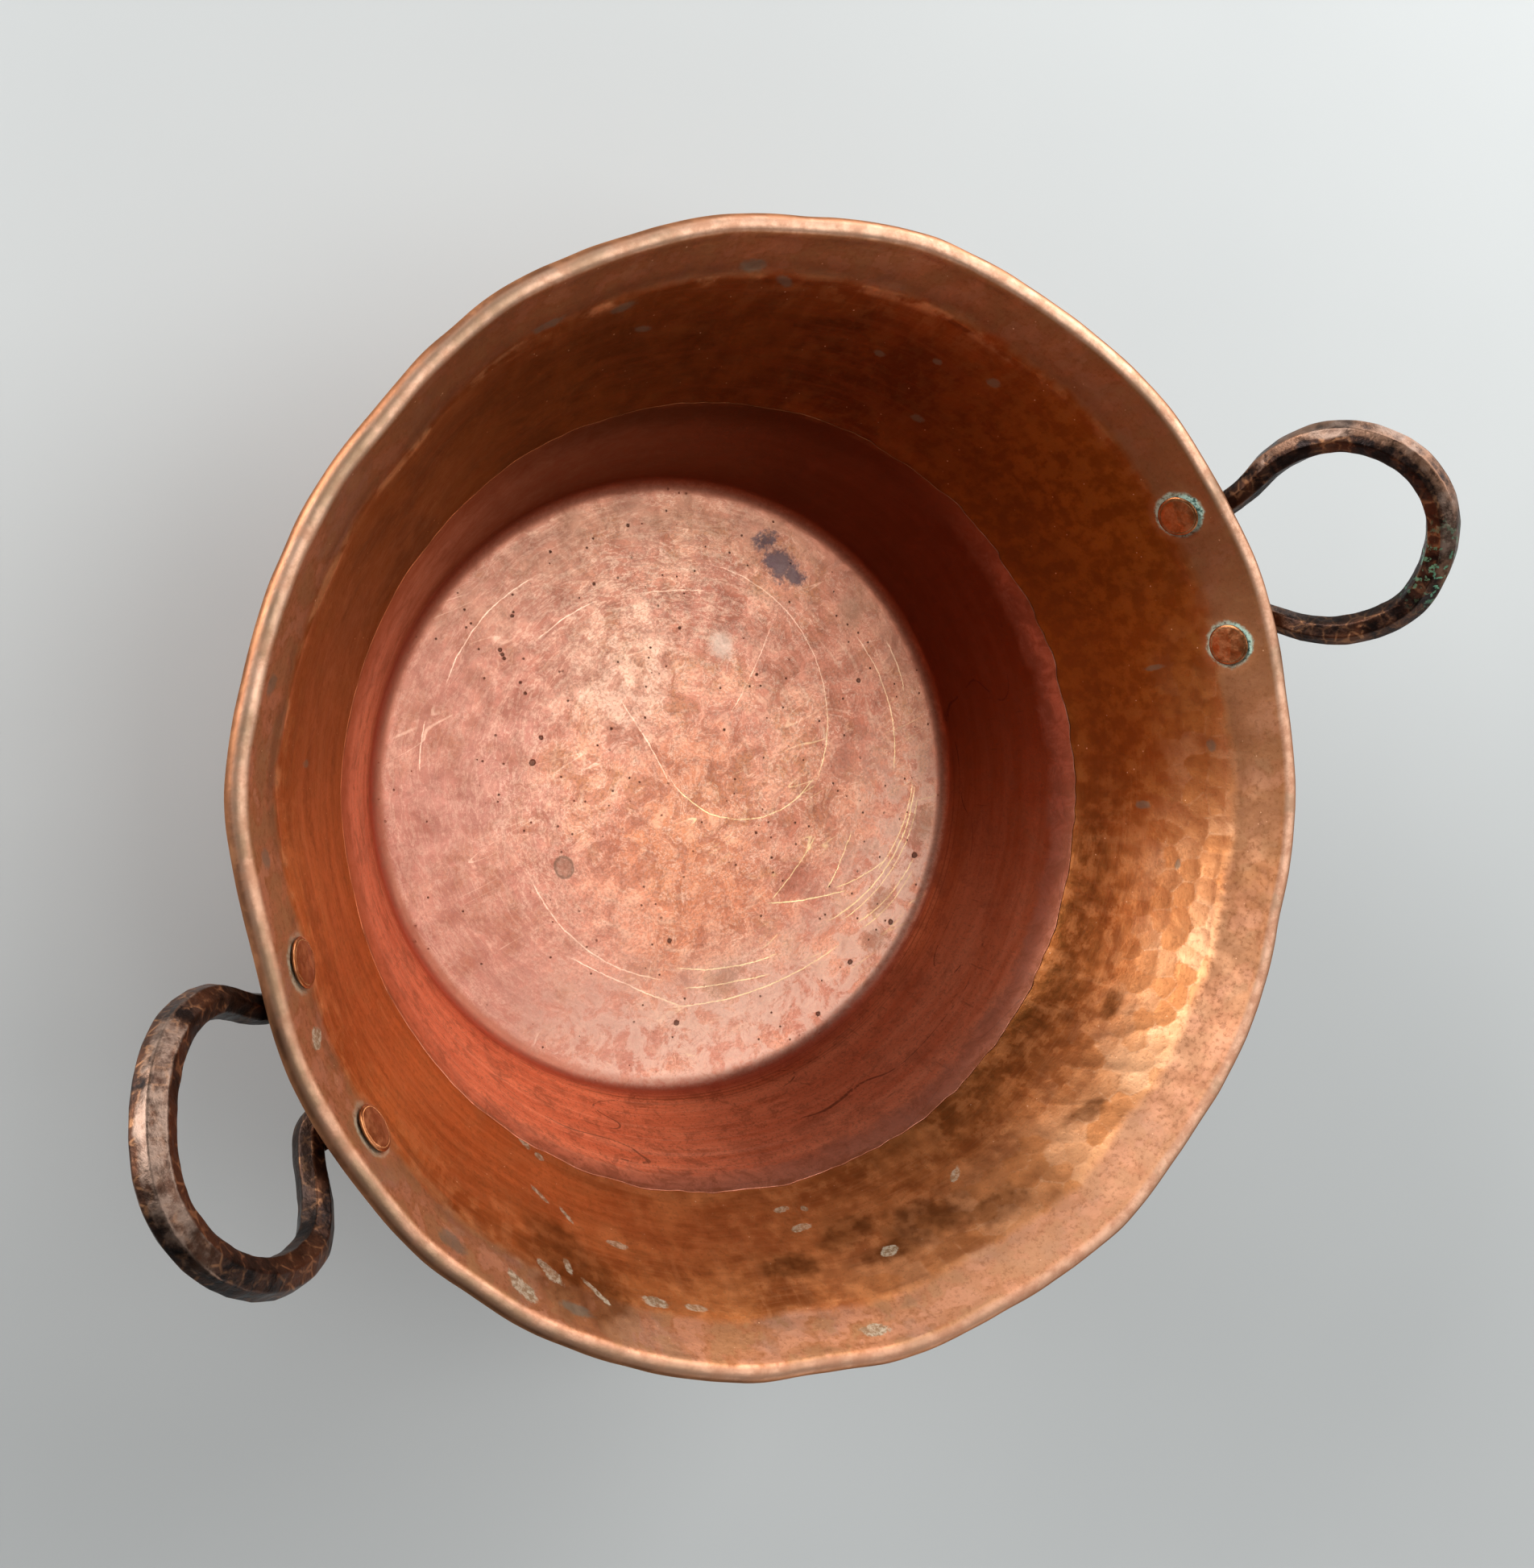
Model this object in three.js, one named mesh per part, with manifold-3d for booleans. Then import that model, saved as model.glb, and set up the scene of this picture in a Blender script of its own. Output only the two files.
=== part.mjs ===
// A round copper cauldron. A flat-based pan is lapped and brazed inside a flared wall, whose top edge is
// rolled outward round a wire. Two forged loop handles stand on the outside, each held by two rivets.
// Millimetres, +Z up, with the origin at the centre of the underside and the handles along X.
import * as THREE from "three";
import { mergeVertices } from "three/addons/utils/BufferGeometryUtils.js";
import Module from "manifold-3d";

const wasm = await Module();
wasm.setup();

const rad = THREE.MathUtils.degToRad;

// Pot: radii are to the inside of the sheet, except at the rim
const RIM_RADIUS = 200; // to the outside of the rolled rim
const RIM_HEIGHT = 165; // centre of the rolled rim above the underside
const WALL_SHEET = 1.2;
const PAN_SHEET = 1.5;
const WIRE_RADIUS = 2.2;
const MOUTH_SLOPE = rad(26.6); // from the vertical, between the crease and the rim
const CREASE_DROP = 18; // from the rim's centre down to the crease
const LAP_RADIUS = 155.5; // the pan at its top edge
const LAP_HEIGHT = 79;
const LAP_TILT = 5.4; // how far the hand-cut edge rises and falls round the pot
const LAP_TILT_AZIMUTH = rad(60); // where it is lowest
const LAP_OVERLAP = 15;
const PAN_SLOPE = rad(15);
const CORNER_RADIUS = 7; // between the floor and the pan's wall
const CURL_TURN = rad(300); // how far the sheet goes round the wire
const FIT = 0.3; // clearance between pieces that touch

// Dents in the rim: azimuth and half width in degrees, and depth, where plus is outward
const DENTS = [
  [1, 9, 0.9],
  [22, 9, 0.85],
  [39, 11, -0.75],
  [55, 8, 0.8],
  [69, 9, -1],
  [87, 8, -0.4],
  [101, 8, 0.9],
  [117, 8, -1],
  [152, 9, 1.1],
  [167, 12, -2],
  [198, 9, 0.9],
  [210, 8, 0.6],
  [243, 9, -1.8],
  [263, 8, -0.9],
  [281, 11, 1.8],
  [306, 13, 1.1],
  [321, 8, -1.2],
  [345, 10, -1.3],
];

// Handles: forged bars, thickest at the grip
const GRIP_RADIUS = 5.9;
const FOOT_RADIUS = 4.8;
const HANDLE_SLOPE = rad(61); // of the loop's plane above the horizontal
const LOOP_STAND = 5.5; // from the rim's outside to the loop's plane, at the loop's drop
const LOOP_DROP = 5; // below the rim's centre, where the loop's plane is measured
const FOOT_GAP = 0.4; // from the wall's outside to a foot
const FOOT_LENGTH = 3.6; // degrees, from the rivet to the foot's tip
const SWELL = [0.12, 0.3]; // shares of the bar's length between which it thickens from a foot to the grip
const TIP_LENGTH = 0.025; // the share of its length over which a foot's tip is rounded off
const TIP_SHARE = 0.72; // of the foot's radius, at the very tip

// The bend from a rivet up to the loop: the share of the rivet's angle, how much further than a foot the
// bar stands from the wall, and how much higher it is
const FOOT_BEND = [
  [1, 0, 0],
  [0.8, 0.8, 0],
  [0.64, 5.2, 1.5],
  [0.68, 10.8, 4.5],
];

// Rivets
const RIVET_DROP = 11.4; // below the rim's centre, on the wall's inside
const SHANK_RADIUS = 3.5;
const HEAD_RADIUS = 8;
const HEAD_HEIGHT = 1.3;
const HEAD_GAP = 0.55; // under the flat heads, which bridge the wall's curve
const PEENED_RADIUS = 5;
const PEENED_HEIGHT = 2;
const SEAT_CUT = 1; // how deep the foot is struck flat for the peened head

// Facets
const SEGMENTS = 72; // round the pot
const CORNER_STEPS = 4;
const ROLL_STEPS = 10;
const CLEARANCE_STEPS = 8;
const WIRE_STEPS = 7;
const WIRE_START = rad(45);
const BAR_STEPS = 72;
const BAR_SIDES = 10;
const RIVET_SIDES = 20;

// One entry for each handle. The loop's points are shares of its reach along its plane and of its span
// along the rim, and run from the first foot to the second.
const HANDLES = [
  {
    side: "right",
    azimuth: rad(2),
    rivet: 8.6,
    reach: 71,
    span: 75,
    loop: [
      [0.11, 0.36],
      [0.28, 0.44],
      [0.48, 0.473],
      [0.68, 0.44],
      [0.85, 0.333],
      [0.96, 0.187],
      [1, 0.013],
      [0.972, -0.147],
      [0.873, -0.32],
      [0.704, -0.467],
      [0.507, -0.52],
      [0.31, -0.513],
      [0.13, -0.45],
    ],
  },
  {
    side: "left",
    azimuth: rad(178),
    rivet: 8.9,
    reach: 70,
    span: 79,
    loop: [
      [0.1, 0.5],
      [0.24, 0.57],
      [0.4, 0.57],
      [0.56, 0.532],
      [0.72, 0.456],
      [0.85, 0.354],
      [0.95, 0.228],
      [1, 0.063],
      [0.97, -0.07],
      [0.87, -0.2],
      [0.72, -0.32],
      [0.54, -0.4],
      [0.36, -0.43],
      [0.11, -0.405],
    ],
  },
];

// What follows from those sizes
const ROLL_RADIUS = WIRE_RADIUS + FIT + WALL_SHEET;
const ROLL_CENTRE = RIM_RADIUS - ROLL_RADIUS;
const CREASE_HEIGHT = RIM_HEIGHT - CREASE_DROP;
const FOOT_STAND = FOOT_GAP + FOOT_RADIUS; // from the wall's outside to the middle of a foot
const SEAT_DEPTH = FOOT_STAND + FOOT_RADIUS - SEAT_CUT; // from the wall's outside to the peened head's seat

// Metals
const COPPER = { color: 0xb0643c, roughness: 0.4, metalness: 0.9 };
const SCOURED_COPPER = { color: 0xd8937a, roughness: 0.35, metalness: 0.9 };
const RIVET_COPPER = { color: 0x9c5230, roughness: 0.45, metalness: 0.9 };
const DARK_BRONZE = { color: 0x3a2a24, roughness: 0.5, metalness: 0.8 };
const IRON = { color: 0x55504c, roughness: 0.7, metalness: 0.8 };

// The pan's inside radius at a height
function panRadius(height) {
  return LAP_RADIUS + (height - LAP_HEIGHT) * Math.tan(PAN_SLOPE);
}

// The inside radius at a height between the crease and the rim: the line that meets the roll
function mouthRadius(height) {
  const touchRadius = ROLL_CENTRE - ROLL_RADIUS * Math.cos(MOUTH_SLOPE);
  const touchHeight = RIM_HEIGHT + ROLL_RADIUS * Math.sin(MOUTH_SLOPE);
  return touchRadius + (height - touchHeight) * Math.tan(MOUTH_SLOPE);
}

// The height of the pan's hand-cut edge at an azimuth
function lapHeight(azimuth) {
  return LAP_HEIGHT - LAP_TILT * Math.cos(azimuth - LAP_TILT_AZIMUTH);
}

// The angle between two azimuths, from 0 to half a turn
function apart(one, other) {
  return Math.abs(THREE.MathUtils.euclideanModulo(one - other + Math.PI, 2 * Math.PI) - Math.PI);
}

// How far the dents move the wall at an azimuth and a height: fully at the rim, not at all at the floor
function sway(azimuth, height) {
  let sum = 0;
  for (const [centre, halfWidth, depth] of DENTS) {
    const share = Math.min(apart(azimuth, rad(centre)) / rad(halfWidth), 1);
    sum += (depth * (1 + Math.cos(Math.PI * share))) / 2;
  }
  return sum * THREE.MathUtils.clamp(height / CREASE_HEIGHT, 0, 1) ** 2;
}

// A polyline moved to its right by a distance, with mitred corners. An end on the axis stays on the axis.
function offset(line, distance) {
  return line.map((point, i) => {
    const before = line[Math.max(i - 1, 0)];
    const after = line[Math.min(i + 1, line.length - 1)];
    const into = i > 0 ? point.clone().sub(before).normalize() : after.clone().sub(point).normalize();
    const out = i < line.length - 1 ? after.clone().sub(point).normalize() : into;
    const middle = into.clone().add(out).normalize();
    const reach = distance / middle.dot(into);
    return new THREE.Vector2(point.x + middle.y * reach, point.y - middle.x * reach);
  });
}

// The closed outline of a sheet: its inside line, and back along its outside
function sheet(line, thickness) {
  return [...line, ...offset(line, thickness).reverse()];
}

// Points on an arc in the outline's plane, from one angle to another
function arc(centre, radius, from, to, steps) {
  return Array.from({ length: steps + 1 }, (_, i) => {
    const angle = from + ((to - from) * i) / steps;
    return new THREE.Vector2(centre.x + radius * Math.cos(angle), centre.y + radius * Math.sin(angle));
  });
}

// A solid turned round Z from an outline that may change with the azimuth, and moved with the dents
function turned(outlineAt, segments = SEGMENTS) {
  const close = (outline) => (outline[0].x === 0 ? outline : [...outline, outline[0]]);
  const count = close(outlineAt(0)).length;
  const geometry = new THREE.LatheGeometry(close(outlineAt(0)), segments);
  const position = geometry.getAttribute("position");
  for (let i = 0; i <= segments; i++) {
    const azimuth = (-2 * Math.PI * (i % segments)) / segments;
    close(outlineAt(azimuth)).forEach(({ x, y }, j) => {
      const radius = x === 0 ? 0 : x + sway(azimuth, y);
      position.setXYZ(i * count + j, radius * Math.cos(azimuth), radius * Math.sin(azimuth), y);
    });
  }
  return geometry;
}

// Outlines
function panLine(azimuth) {
  const edge = lapHeight(azimuth);
  const centre = new THREE.Vector2(
    panRadius(PAN_SHEET) - CORNER_RADIUS * Math.tan((Math.PI / 2 - PAN_SLOPE) / 2),
    PAN_SHEET + CORNER_RADIUS,
  );
  return [
    new THREE.Vector2(0, PAN_SHEET),
    ...arc(centre, CORNER_RADIUS, -Math.PI / 2, -PAN_SLOPE, CORNER_STEPS),
    new THREE.Vector2(panRadius(edge), edge),
  ];
}

function wallLine(azimuth) {
  const edge = lapHeight(azimuth);
  const behindPan = (PAN_SHEET + FIT) / Math.cos(PAN_SLOPE);
  const foot = edge - LAP_OVERLAP * Math.cos(PAN_SLOPE);
  return [
    new THREE.Vector2(panRadius(foot) + behindPan, foot),
    new THREE.Vector2(panRadius(edge) + behindPan, edge),
    new THREE.Vector2(mouthRadius(CREASE_HEIGHT), CREASE_HEIGHT),
  ];
}

function bandLine(azimuth) {
  const start = Math.PI - MOUTH_SLOPE;
  const centre = new THREE.Vector2(ROLL_CENTRE, RIM_HEIGHT);
  return [...wallLine(azimuth), ...arc(centre, ROLL_RADIUS, start, start - CURL_TURN, ROLL_STEPS)];
}

function wireOutline() {
  const centre = new THREE.Vector2(ROLL_CENTRE, RIM_HEIGHT);
  return arc(centre, WIRE_RADIUS, 2 * Math.PI, WIRE_START, WIRE_STEPS);
}

// The space that the wall and its rolled rim fill, with clearance, closed to the axis
function potSpace(azimuth) {
  const outside = offset(wallLine(azimuth), WALL_SHEET + FIT);
  const centre = new THREE.Vector2(ROLL_CENTRE, RIM_HEIGHT);
  const round = arc(centre, ROLL_RADIUS + FIT, -Math.PI + MOUTH_SLOPE, Math.PI / 2, CLEARANCE_STEPS);
  return [
    new THREE.Vector2(0, RIM_HEIGHT + ROLL_RADIUS + FIT),
    ...[...outside, ...round].reverse(),
    new THREE.Vector2(0, outside[0].y),
  ];
}

// Booleans
function solid(geometry) {
  const bare = geometry.index ? geometry.toNonIndexed() : geometry.clone();
  bare.deleteAttribute("normal");
  bare.deleteAttribute("uv");
  const merged = mergeVertices(bare, 1e-4);
  const made = new wasm.Manifold(
    new wasm.Mesh({
      numProp: 3,
      vertProperties: merged.getAttribute("position").array,
      triVerts: new Uint32Array(merged.index.array),
    }),
  );
  return made;
}

function geometryOf(made) {
  const { vertProperties, triVerts, numProp } = made.getMesh();
  const geometry = new THREE.BufferGeometry();
  const points = new Float32Array((vertProperties.length / numProp) * 3);
  for (let i = 0; i < points.length / 3; i++) {
    for (let k = 0; k < 3; k++) points[3 * i + k] = vertProperties[numProp * i + k];
  }
  geometry.setAttribute("position", new THREE.BufferAttribute(points, 3));
  geometry.setIndex([...triVerts]);
  geometry.computeVertexNormals();
  return geometry;
}

// A point on the inside of the wall, between the crease and the rim
function mouthPoint(azimuth, height) {
  const radius = mouthRadius(height) + sway(azimuth, height);
  return new THREE.Vector3(radius * Math.cos(azimuth), radius * Math.sin(azimuth), height);
}

// The rivet's frame: its origin on the wall's inside, and +Z out of the pot, square to the dented wall
function rivetFrame(azimuth) {
  const height = RIM_HEIGHT - RIVET_DROP;
  const across = HEAD_RADIUS / RIM_RADIUS;
  const along = mouthPoint(azimuth + across, height).sub(mouthPoint(azimuth - across, height));
  const up = mouthPoint(azimuth, height + HEAD_RADIUS / 2).sub(mouthPoint(azimuth, height - HEAD_RADIUS / 2));
  const frame = new THREE.Object3D();
  frame.position.copy(mouthPoint(azimuth, height));
  frame.quaternion.setFromUnitVectors(new THREE.Vector3(0, 0, 1), along.cross(up).normalize());
  frame.updateMatrix();
  return frame;
}

// A cylinder in a rivet's frame, between two distances from the wall's inside
function drill(azimuth, radius, from, to) {
  const cylinder = new THREE.CylinderGeometry(radius, radius, to - from, RIVET_SIDES);
  cylinder.rotateX(Math.PI / 2);
  cylinder.translate(0, 0, (from + to) / 2);
  return solid(cylinder.applyMatrix4(rivetFrame(azimuth).matrix));
}

// A rivet in its own frame: a flat head inside the pot, the shank, and a peened head outside the foot
function rivetGeometry() {
  const seat = WALL_SHEET + SEAT_DEPTH + FIT;
  const outline = [
    [0, -HEAD_GAP - HEAD_HEIGHT],
    [HEAD_RADIUS - 1, -HEAD_GAP - HEAD_HEIGHT * 0.85],
    [HEAD_RADIUS, -HEAD_GAP - HEAD_HEIGHT * 0.4],
    [HEAD_RADIUS, -HEAD_GAP],
    [SHANK_RADIUS, -HEAD_GAP],
    [SHANK_RADIUS, seat],
    [PEENED_RADIUS, seat],
    [PEENED_RADIUS * 0.75, seat + PEENED_HEIGHT * 0.7],
    [0, seat + PEENED_HEIGHT],
  ];
  const lathe = new THREE.LatheGeometry(
    outline.map(([x, y]) => new THREE.Vector2(x, y)),
    RIVET_SIDES,
  );
  return lathe.rotateX(Math.PI / 2);
}

// A foot's middle, in the handle's frame, at degrees from the handle's azimuth
function footPoint(handle, degrees, stand, rise = 0) {
  const azimuth = handle.azimuth + rad(degrees);
  const height = RIM_HEIGHT - RIVET_DROP;
  const away = WALL_SHEET + stand;
  const radius = mouthRadius(height) + sway(azimuth, height) + away * Math.cos(MOUTH_SLOPE);
  return new THREE.Vector3(
    radius * Math.cos(azimuth),
    radius * Math.sin(azimuth),
    height - away * Math.sin(MOUTH_SLOPE) + rise,
  );
}

// A point of the loop: its share of the reach up the loop's plane, and of the span along the rim
function loopPoint(handle, [reachShare, spanShare]) {
  const up = reachShare * handle.reach;
  const point = new THREE.Vector3(
    RIM_RADIUS + LOOP_STAND + up * Math.cos(HANDLE_SLOPE),
    spanShare * handle.span,
    RIM_HEIGHT - LOOP_DROP + up * Math.sin(HANDLE_SLOPE),
  );
  return point.applyAxisAngle(new THREE.Vector3(0, 0, 1), handle.azimuth);
}

// From a foot's tip along the wall, round the bend and up to where the loop begins
function footPoints(handle, side) {
  const tip = footPoint(handle, side * (handle.rivet + FOOT_LENGTH), FOOT_STAND);
  const bend = FOOT_BEND.map(([share, further, rise]) =>
    footPoint(handle, side * handle.rivet * share, FOOT_STAND + further, rise),
  );
  return [tip, ...bend];
}

function handlePath(handle) {
  return new THREE.CatmullRomCurve3(
    [
      ...footPoints(handle, 1),
      ...handle.loop.map((shares) => loopPoint(handle, shares)),
      ...footPoints(handle, -1).reverse(),
    ],
    false,
    "centripetal",
  );
}

// The bar's radius at a share of its length: rounded tips, thin feet, and thick at the grip
function barRadius(share) {
  const fromEnd = Math.min(share, 1 - share);
  const swell = THREE.MathUtils.smoothstep(fromEnd, ...SWELL);
  const tip = THREE.MathUtils.lerp(TIP_SHARE, 1, THREE.MathUtils.smoothstep(fromEnd, 0, TIP_LENGTH));
  return tip * THREE.MathUtils.lerp(FOOT_RADIUS, GRIP_RADIUS, swell);
}

// A bar along the handle's path, with each ring drawn to the bar's radius there
function bar(handle) {
  const path = handlePath(handle);
  const section = new THREE.Shape(
    Array.from({ length: BAR_SIDES }, (_, i) => {
      const angle = (2 * Math.PI * i) / BAR_SIDES;
      return new THREE.Vector2(Math.cos(angle) * GRIP_RADIUS, Math.sin(angle) * GRIP_RADIUS);
    }),
  );
  const geometry = new THREE.ExtrudeGeometry(section, { steps: BAR_STEPS, extrudePath: path });
  const centres = path.getSpacedPoints(BAR_STEPS);
  const position = geometry.getAttribute("position");
  const point = new THREE.Vector3();
  for (let i = 0; i < position.count; i++) {
    point.fromBufferAttribute(position, i);
    const own = centres.reduce((best, centre, k) => {
      const far = Math.abs(centre.distanceTo(point) - GRIP_RADIUS);
      return far < best.far ? { k, far } : best;
    }, { k: 0, far: Infinity });
    point.sub(centres[own.k]);
    point.setLength(barRadius(own.k / BAR_STEPS)).add(centres[own.k]);
    position.setXYZ(i, point.x, point.y, point.z);
  }
  return geometry;
}

function handleGeometry(handle, pot) {
  let made = solid(bar(handle)).subtract(pot);
  for (const side of [1, -1]) {
    const azimuth = handle.azimuth + side * rad(handle.rivet);
    const outside = WALL_SHEET + SEAT_DEPTH;
    made = made.subtract(drill(azimuth, SHANK_RADIUS + FIT, 0, outside + 1));
    made = made.subtract(drill(azimuth, PEENED_RADIUS + 2 * FIT, outside, outside + PEENED_HEIGHT + 2));
  }
  return geometryOf(made);
}

function bandGeometry() {
  let made = solid(turned((azimuth) => sheet(bandLine(azimuth), WALL_SHEET)));
  for (const handle of HANDLES) {
    for (const side of [1, -1]) {
      const azimuth = handle.azimuth + side * rad(handle.rivet);
      made = made.subtract(drill(azimuth, SHANK_RADIUS + FIT, -2, WALL_SHEET + 2));
    }
  }
  return geometryOf(made);
}

function named(name, geometry, finish) {
  const mesh = new THREE.Mesh(geometry, new THREE.MeshStandardMaterial(finish));
  mesh.name = name;
  return mesh;
}

const cauldron = new THREE.Group();
const pot = solid(turned(potSpace));

cauldron.add(named("lower_pan", turned((azimuth) => sheet(panLine(azimuth), PAN_SHEET)), SCOURED_COPPER));
cauldron.add(named("wall_band", bandGeometry(), COPPER));
cauldron.add(named("rim_wire", turned(wireOutline), IRON));
for (const handle of HANDLES) {
  cauldron.add(named(`handle_${handle.side}`, handleGeometry(handle, pot), DARK_BRONZE));
  for (const [letter, side] of [["a", 1], ["b", -1]]) {
    const rivet = named(`rivet_${handle.side}_${letter}`, rivetGeometry(), RIVET_COPPER);
    const frame = rivetFrame(handle.azimuth + side * rad(handle.rivet));
    rivet.position.copy(frame.position);
    rivet.quaternion.copy(frame.quaternion);
    cauldron.add(rivet);
  }
}

export default cauldron;
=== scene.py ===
"""Looks of a round copper cauldron: fine hammered surfaces, forged handles, rivets, patina and light.

Lengths are metres in the part's own frame: +Z up, the origin under the centre of the base, handles along X.
"""

from math import cos, pi, radians, sin, tan

import bpy
import numpy as np
from mathutils import Matrix, Vector


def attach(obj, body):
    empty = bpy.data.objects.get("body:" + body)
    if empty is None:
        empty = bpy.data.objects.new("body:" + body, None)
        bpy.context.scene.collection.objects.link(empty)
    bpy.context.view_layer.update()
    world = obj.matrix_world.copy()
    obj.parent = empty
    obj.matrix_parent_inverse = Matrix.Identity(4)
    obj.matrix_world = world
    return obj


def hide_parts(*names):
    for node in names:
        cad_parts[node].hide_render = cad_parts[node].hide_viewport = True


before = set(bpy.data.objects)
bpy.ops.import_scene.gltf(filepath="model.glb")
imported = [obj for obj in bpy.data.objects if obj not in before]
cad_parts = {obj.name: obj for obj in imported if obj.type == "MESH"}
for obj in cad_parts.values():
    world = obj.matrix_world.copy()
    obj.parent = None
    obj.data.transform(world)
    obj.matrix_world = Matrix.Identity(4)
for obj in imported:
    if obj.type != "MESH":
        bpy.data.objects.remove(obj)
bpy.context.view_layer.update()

MM = 0.001

# Pot: radii are to the inside of the sheet, except at the rim
RIM_RADIUS = 200 * MM
RIM_HEIGHT = 165 * MM
WALL_SHEET = 1.2 * MM
PAN_SHEET = 1.5 * MM
WIRE_RADIUS = 2.2 * MM
MOUTH_SLOPE = radians(26.6)
CREASE_HEIGHT = RIM_HEIGHT - 18 * MM
LAP_RADIUS = 155.5 * MM
LAP_HEIGHT = 79 * MM
LAP_TILT = 5.4 * MM
LAP_TILT_AZIMUTH = radians(60)
LAP_OVERLAP = 15 * MM
SMOOTH_LAP_AZIMUTH = radians(110)
PAN_SLOPE = radians(15)
CORNER_RADIUS = 7 * MM
CURL_TURN = radians(300)
LAP_GAP = 0.3 * MM
ROLL_RADIUS = WIRE_RADIUS + LAP_GAP + WALL_SHEET
ROLL_CENTRE = RIM_RADIUS - ROLL_RADIUS

# Dents in the rim: azimuth and half width in degrees, and depth in millimetres, where plus is outward
DENTS = (
    (1, 9, 0.9), (22, 9, 0.85), (39, 11, -0.75), (55, 8, 0.8), (69, 9, -1), (87, 8, -0.4),
    (101, 8, 0.9), (117, 8, -1), (152, 9, 1.1), (167, 12, -2), (198, 9, 0.9), (210, 8, 0.6),
    (243, 9, -1.8), (263, 8, -0.9), (281, 11, 1.8), (306, 13, 1.1), (321, 8, -1.2), (345, 10, -1.3),
)

# Handles
GRIP_RADIUS = 5.9 * MM
FOOT_RADIUS = 4.8 * MM
HANDLE_SLOPE = radians(61)
LOOP_STAND = 5.5 * MM
LOOP_DROP = 5 * MM
FOOT_STAND = 5.2 * MM
FOOT_LENGTH = 3.6
HANDLES = {
    "right": dict(
        azimuth=radians(2), rivet=8.6, reach=71 * MM, span=75 * MM, worn=(0.22, 0.60), polish=1.0,
        loop=(
            (0.11, 0.36), (0.28, 0.44), (0.48, 0.473), (0.68, 0.44), (0.85, 0.333), (0.96, 0.187),
            (1, 0.013), (0.972, -0.147), (0.873, -0.32), (0.704, -0.467), (0.507, -0.52),
            (0.31, -0.513), (0.13, -0.45),
        ),
    ),
    "left": dict(
        azimuth=radians(178), rivet=8.9, reach=70 * MM, span=79 * MM, worn=(0.46, 0.74), polish=0.82,
        loop=(
            (0.1, 0.5), (0.24, 0.57), (0.4, 0.57), (0.56, 0.532), (0.72, 0.456), (0.85, 0.354),
            (0.95, 0.228), (1, 0.063), (0.97, -0.07), (0.87, -0.2), (0.72, -0.32), (0.54, -0.4),
            (0.36, -0.43), (0.11, -0.405),
        ),
    ),
}

# Rivets
RIVET_HEIGHT = RIM_HEIGHT - 11.4 * MM
SHANK_RADIUS = 3.5 * MM
HEAD_RADIUS = 8 * MM
HEAD_HEIGHT = 1.3 * MM
PEENED_RADIUS = 5 * MM
PEENED_HEIGHT = 2 * MM
SEAT_DEPTH = 9 * MM


# Camera, floor and light

VIEW_TILT = radians(23.4)
VIEW_TILT_AXIS = radians(-5.1)
VIEW_OFFSET = Vector((26 * MM, -7 * MM, -515 * MM))
VIEW_TURN = radians(-25.65)
LENS_PIXELS = 1850
FRAME_HEIGHT_PIXELS = 1946
SENSOR = 36
FLOOR_RADIUS = 6
SKY_COLOUR = (0.93, 0.97, 1, 1)
SKY_STRENGTH = 0.06
LAMP_DISTANCE = 1.8
LAMP_SIZE = (1.0, 0.95)  # width and height
# Name, angle in the picture and elevation in degrees, and watts
LAMPS = (
    ("window", 150, 15, 43), ("far", 60, 15, 23), ("right", 30, 35, 15), ("overhead", 0, 75, 9.5), ("near", 300, 15, 8),
)


def place_camera():
    """The pot's axis leans by VIEW_TILT from the line of sight, and the picture is turned by VIEW_TURN."""
    lean = (
        Matrix.Rotation(VIEW_TILT_AXIS, 4, "Z")
        @ Matrix.Rotation(VIEW_TILT, 4, "Y")
        @ Matrix.Rotation(-VIEW_TILT_AXIS, 4, "Z")
    )
    camera = bpy.data.objects.new("camera", bpy.data.cameras.new("camera"))
    camera.data.sensor_width = SENSOR
    camera.data.lens = SENSOR * LENS_PIXELS / FRAME_HEIGHT_PIXELS
    camera.data.clip_start = 0.01
    camera.matrix_world = (
        Matrix.Rotation(VIEW_TURN, 4, "Z")
        @ Matrix.Translation((0, 0, RIM_HEIGHT))
        @ lean.transposed()
        @ Matrix.Translation(-VIEW_OFFSET)
    )
    bpy.context.scene.collection.objects.link(camera)
    bpy.context.scene.camera = camera


def toward(picture_angle, elevation):
    """A unit vector from the pot to a point at an angle of the picture, anticlockwise from its right."""
    azimuth = radians(picture_angle) + VIEW_TURN
    level = cos(radians(elevation))
    return Vector((level * cos(azimuth), level * sin(azimuth), sin(radians(elevation))))


def soft_lamp(name, picture_angle, elevation, watts):
    """A rectangular area lamp that faces the pot from a distance."""
    lamp = bpy.data.objects.new(name, bpy.data.lights.new(name, "AREA"))
    lamp.data.shape = "RECTANGLE"
    lamp.data.size, lamp.data.size_y = LAMP_SIZE
    lamp.data.energy = watts
    direction = toward(picture_angle, elevation)
    lamp.location = Vector((0, 0, RIM_HEIGHT / 2)) + direction * LAMP_DISTANCE
    lamp.rotation_euler = direction.to_track_quat("Z", "Y").to_euler()
    bpy.context.scene.collection.objects.link(lamp)


def lay_floor():
    """A flat disc of pale grey under the pot."""
    bpy.ops.mesh.primitive_circle_add(vertices=96, radius=FLOOR_RADIUS, fill_type="NGON")
    floor = bpy.context.object
    floor.name = "floor"
    finish = Finish("floor_grey")
    tone = finish.mix(finish.noise(3, detail=3), (0.50, 0.52, 0.52), (0.55, 0.57, 0.565))
    finish.surface(tone, roughness=0.9)
    floor.data.materials.append(finish.material)


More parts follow.
